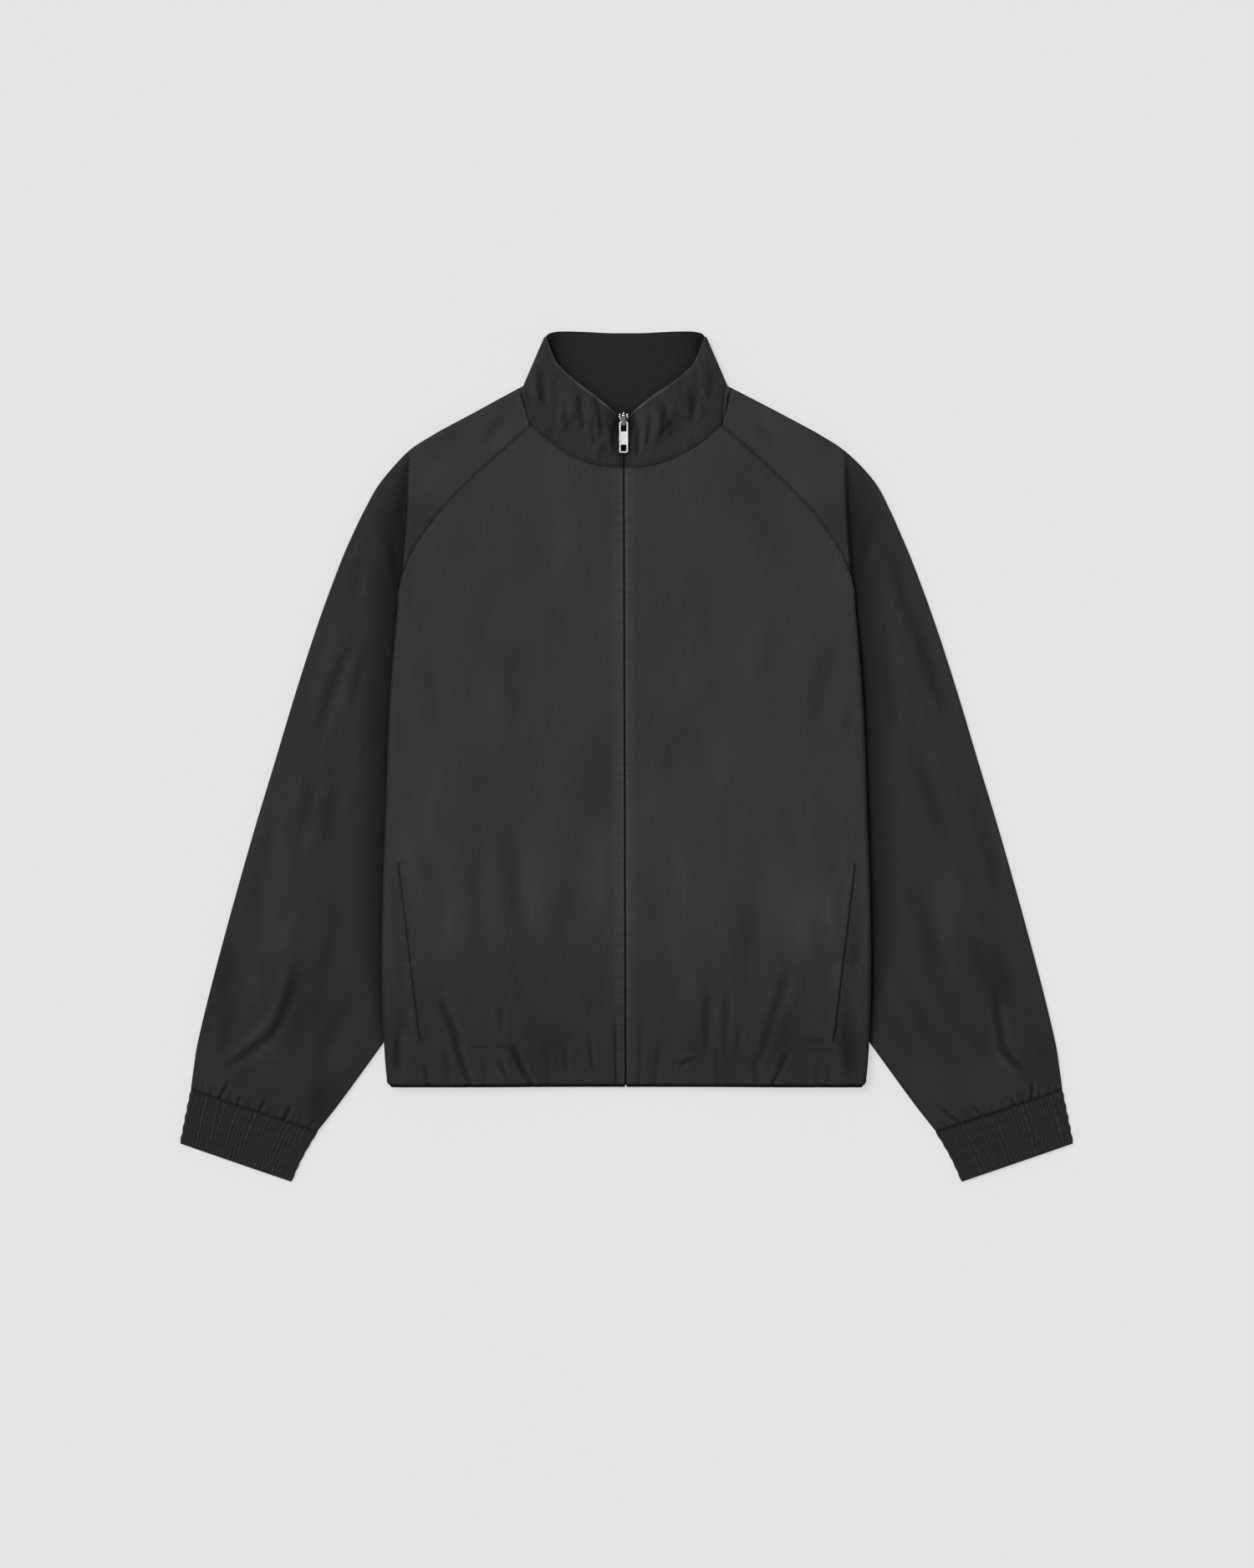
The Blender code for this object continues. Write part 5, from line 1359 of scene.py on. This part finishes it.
def sweptRing(path, wide, tall, count=12):  # a rounded square profile carried round a closed flat path
    ahead = np.roll(path, -1, axis=0) - np.roll(path, 1, axis=0)
    out = unitOf(np.stack([ahead[:, 1], -ahead[:, 0]], axis=1))
    angle = np.linspace(0.0, 2.0 * math.pi, count, endpoint=False)
    power = 0.45
    c = np.sign(np.cos(angle)) * np.abs(np.cos(angle)) ** power * wide / 2.0
    s = np.sign(np.sin(angle)) * np.abs(np.sin(angle)) ** power * tall / 2.0
    points = np.concatenate((path[:, None] + out[:, None] * c[None, :, None],
                             np.broadcast_to(s[None, :, None], (len(path), count, 1))), axis=2)
    return points.reshape(-1, 3), gridFaces(len(path), count, roundU=True, roundV=True)[:, ::-1]


def roundedPath(halfX, lowY, highY, corner, steps=7):  # rounded rectangle, quarter circles at its corners
    angle = np.linspace(0.0, math.pi / 2.0, steps)
    quarters = []
    for turn, (x, y) in enumerate(((halfX, highY), (-halfX, highY), (-halfX, lowY), (halfX, lowY))):
        cx, cy = x - math.copysign(corner, x), (y - corner if turn < 2 else y + corner)
        a = angle + turn * math.pi / 2.0
        quarters.append(np.stack([cx + corner * np.cos(a), cy + corner * np.sin(a)], axis=1))
    return np.concatenate(quarters)


def makePull():
    # a slotted tab: a rim carried round a rounded rectangle, with a thinner plate across its middle
    size, half = zipper, zipper["pullBar"] / 2.0
    path = roundedPath(size["pullHalf"] - half, size["pullLow"] + half, size["pullTop"] - half, 1.2)
    rim, rimFaces = sweptRing(path, size["pullBar"], size["pullThick"])
    plateLong = size["plate"][1] - size["plate"][0]
    plateHalf = (size["pullHalf"] - half, plateLong / 2.0, size["pullThick"] * 0.36)
    plate, plateFaces = roundedBlock(plateHalf, 0.12)
    plate = plate + np.array([0.0, sum(size["plate"]) / 2.0, 0.0])
    rimTriangles = np.concatenate((rimFaces[:, [0, 1, 2]], rimFaces[:, [0, 2, 3]]))
    faces = np.concatenate((rimTriangles, plateFaces + len(rim)))
    points = np.concatenate((rim, plate)) + np.array([zipX(size["hingeY"]), size["hingeY"], size["hingeZ"]])
    piece = addPiece("pullTab", points, faces, silverMetal, body="pull_tab", smooth=35.0)
    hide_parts("zip_pull")


tape = makeTape()
makeTeeth()
makeCrown()
makePull()
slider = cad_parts["zip_slider"]
slider.data.materials.clear()
slider.data.materials.append(greyMetal)
print("zip made")


# Sewing
sewing = {
    "pitch": 2.9,
    "long": 2.2,
    "thick": 0.36,
}


def stitchUnit():  # a spindle of five sides: three rings between two tips, along its own X
    rings = []
    angle = np.linspace(0.0, 2.0 * math.pi, 5, endpoint=False)
    for place, share in ((-0.36, 0.75), (0.0, 1.0), (0.36, 0.75)):
        r = sewing["thick"] / 2.0 * share
        x = np.full(5, place * sewing["long"])
        rings.append(np.stack([x, r * np.cos(angle), r * np.sin(angle)], axis=1))
    tips = np.array([[-sewing["long"] / 2.0, 0.0, 0.0], [sewing["long"] / 2.0, 0.0, 0.0]])
    quads = gridFaces(3, 5, roundU=True)
    sides = np.concatenate((quads[:, [0, 2, 1]], quads[:, [0, 3, 2]]))
    after = np.roll(np.arange(5), -1)
    ends = np.concatenate((np.stack([np.full(5, 15), np.arange(5), after], axis=1),
                           np.stack([np.full(5, 16), after + 10, np.arange(5) + 10], axis=1)))
    return np.concatenate((*rings, tips)), np.concatenate((sides, ends))


def stitchRow(line, up):
    # evenly spaced places along a line; each stitch lies along it, its up side along the cloth's normal
    run = runAlong(line)
    s = np.arange(sewing["pitch"] / 2.0, run[-1], sewing["pitch"])
    at = np.stack([np.interp(s, run, line[:, k]) for k in range(3)], axis=1)
    ahead = np.stack([np.interp(s + 0.6, run, line[:, k]) for k in range(3)], axis=1)
    behind = np.stack([np.interp(s - 0.6, run, line[:, k]) for k in range(3)], axis=1)
    x = unitOf(ahead - behind)
    normal = unitOf(np.stack([np.interp(s, run, up[:, k]) for k in range(3)], axis=1))
    y = unitOf(np.cross(normal, x))
    return at, np.stack([x, y, np.cross(x, y)], axis=2)


def addStitches(name, rows):
    places = np.concatenate([row[0] for row in rows])
    frames = np.concatenate([row[1] for row in rows])
    points, faces = copiesOf(*stitchUnit(), places, frames)
    piece = addPiece(name, askew(points), faces, threadFinish, smooth=80.0)
    return piece


def onFront(side, x, y, lift=0.0):  # a line on a front's upper face
    z = frontHeight(x, y) + frontRelief(side, x, y) + frontPanel["wall"] / 2.0 + lift
    line = mirrored(np.stack([x, y, z], axis=1), side)
    return line, np.broadcast_to(np.array([0.0, 0.0, 1.0]), line.shape)


def frontStitches(side, word):
    y = np.linspace(lie["hemY"] + 2.0, 262.0, 400)
    placket = onFront(side, side * zipX(y) + lie["edgeFromZip"] + 7.5, y, -0.13)
    part = np.linspace(0.0, 1.0, 120)
    welt = onFront(side, blend(pocket["top"][0], pocket["low"][0], part) - 2.2,
                   blend(pocket["top"][1], pocket["low"][1], part), pocket["lip"])
    tacks = []
    for end, shift in ((0.0, -0.8), (1.0, 0.8)):
        centre = [blend(pocket["top"][k], pocket["low"][k], end) for k in (0, 1)]
        x = np.linspace(centre[0] - 10.0, centre[0] + 1.0, 12)
        tacks.append(onFront(side, x, np.full(12, centre[1] + shift), pocket["lip"] * 0.6))
    return addStitches("frontStitches" + word, [stitchRow(*line) for line in (placket, welt, *tacks)])


def collarStitches():
    # along the free edge, on the face that shows: outer in front, inner at the back, none on the side folds
    up = normalsOf(collarPoints)
    up = up * np.sign(up[..., 2:])
    row = collar["rows"] - 5
    front = collar["frontColumns"] + collar["sideColumns"] - 2
    backStart = front + collar["turnColumns"] + 4
    rows = []
    for part in (slice(0, front), slice(backStart, -backStart), slice(-front, None)):
        line = collarPoints[row] + up[row] * (collar["wall"] / 2.0 + 0.03)
        rows.append(stitchRow(line[part], up[row][part]))
    return addStitches("collarStitches", rows)


def cuffStitches(side, word):
    # the rows of elastic stitching, sunk between the ribs
    rows = []
    for number in range(1, cuff["stitchRows"] + 1):
        t = number / (cuff["stitchRows"] + 1.0)
        start = blend(cuffSeamIn, np.array(cuff["endIn"]), t)
        end = blend(cuffSeamOut, np.array(cuff["endOut"]), t)
        part = np.linspace(0.03, 0.97, 160)
        flat = blend(start[None], end[None], part[:, None])
        z = lie["floorLayer"] - cuff["sunk"] + cuff["stitchHigh"] + cuff["swell"] * np.sin(math.pi * part)
        z = z + cuff["ribHigh"] * (cuffRibs(part[None], np.array([[t]]), 101 + side)[0] - 0.25)
        line = mirrored(np.stack([flat[:, 0], flat[:, 1], z], axis=1), side)
        rows.append(stitchRow(line, np.broadcast_to(np.array([0.0, 0.0, 1.0]), line.shape)))
    return addStitches("cuffStitches" + word, rows)


frontSewing = {side: frontStitches(side, word) for side, word in ((1, "Left"), (-1, "Right"))}
cuffSewing = {side: cuffStitches(side, word) for side, word in ((1, "Left"), (-1, "Right"))}
collarSewing = collarStitches()
print("sewing made")


# Floor, light and camera
studio = {
    "floorSize": 40.0,         # metres
    "floorLow": -0.0002,
    "floorColour": (0.19, 0.19, 0.19),
    "floorGlow": 0.552,        # the photograph's table is lit from below as well, so it shows hardly a shadow
    "worldLight": 0.42,
    "keyStrength": 2.8,
    "keyFrom": (-0.45, 0.30, 0.84),
    "keySoft": 35.0,
    "lens": 85.0,
    "sensor": 36.0,
    "frameTall": 1.4625,       # metres that the picture's height takes in
    "centre": (0.0004, -0.0257),
    "clothHigh": 0.006,
}


def makeFloor():
    half = studio["floorSize"] / 2.0
    mesh = bpy.data.meshes.new("floor")
    low = studio["floorLow"]
    corners = [(-half, -half, low), (half, -half, low), (half, half, low), (-half, half, low)]
    mesh.from_pydata(corners, [], [(0, 1, 2, 3)])
    made, tree, shader = startMaterial("pale floor")
    place = putNode(tree, "TexCoord").outputs["Object"]
    grain = stretchedNoise(tree, place, (2.0, 2.0, 2.0))
    colour = shaded(tree, studio["floorColour"], ranged(tree, grain, 0.996, 1.004))
    tree.links.new(colour, shader.inputs["Base Color"])
    shader.inputs["Roughness"].default_value = 0.9
    shader.inputs["Specular IOR Level"].default_value = 0.0
    shader.inputs["Emission Color"].default_value = (1.0, 1.0, 1.0, 1.0)
    shader.inputs["Emission Strength"].default_value = studio["floorGlow"]
    mesh.materials.append(made)
    floor = bpy.data.objects.new("floor", mesh)
    bpy.context.scene.collection.objects.link(floor)


def makeLight():
    world = bpy.data.worlds.new("studio")
    world.use_nodes = True
    world.node_tree.nodes["Background"].inputs[0].default_value = (*[studio["worldLight"]] * 3, 1.0)
    bpy.context.scene.world = world
    key = bpy.data.lights.new("key", "SUN")
    key.energy = studio["keyStrength"]
    key.angle = math.radians(studio["keySoft"])
    lamp = bpy.data.objects.new("key", key)
    way = unitOf(np.array(studio["keyFrom"]))
    lamp.rotation_euler = (math.acos(way[2]), 0.0, math.atan2(way[0], -way[1]))
    bpy.context.scene.collection.objects.link(lamp)


def makeCamera():
    camera = bpy.data.cameras.new("camera")
    camera.lens = studio["lens"]
    camera.sensor_width = studio["sensor"]
    camera.clip_end = 50.0
    seen = bpy.data.objects.new("camera", camera)
    distance = studio["frameTall"] * studio["lens"] / studio["sensor"]
    seen.location = (*studio["centre"], distance + studio["clothHigh"])
    bpy.context.scene.collection.objects.link(seen)
    bpy.context.scene.camera = seen


makeFloor()
makeLight()
makeCamera()
bpy.context.scene.view_settings.view_transform = "Standard"
print("studio made")
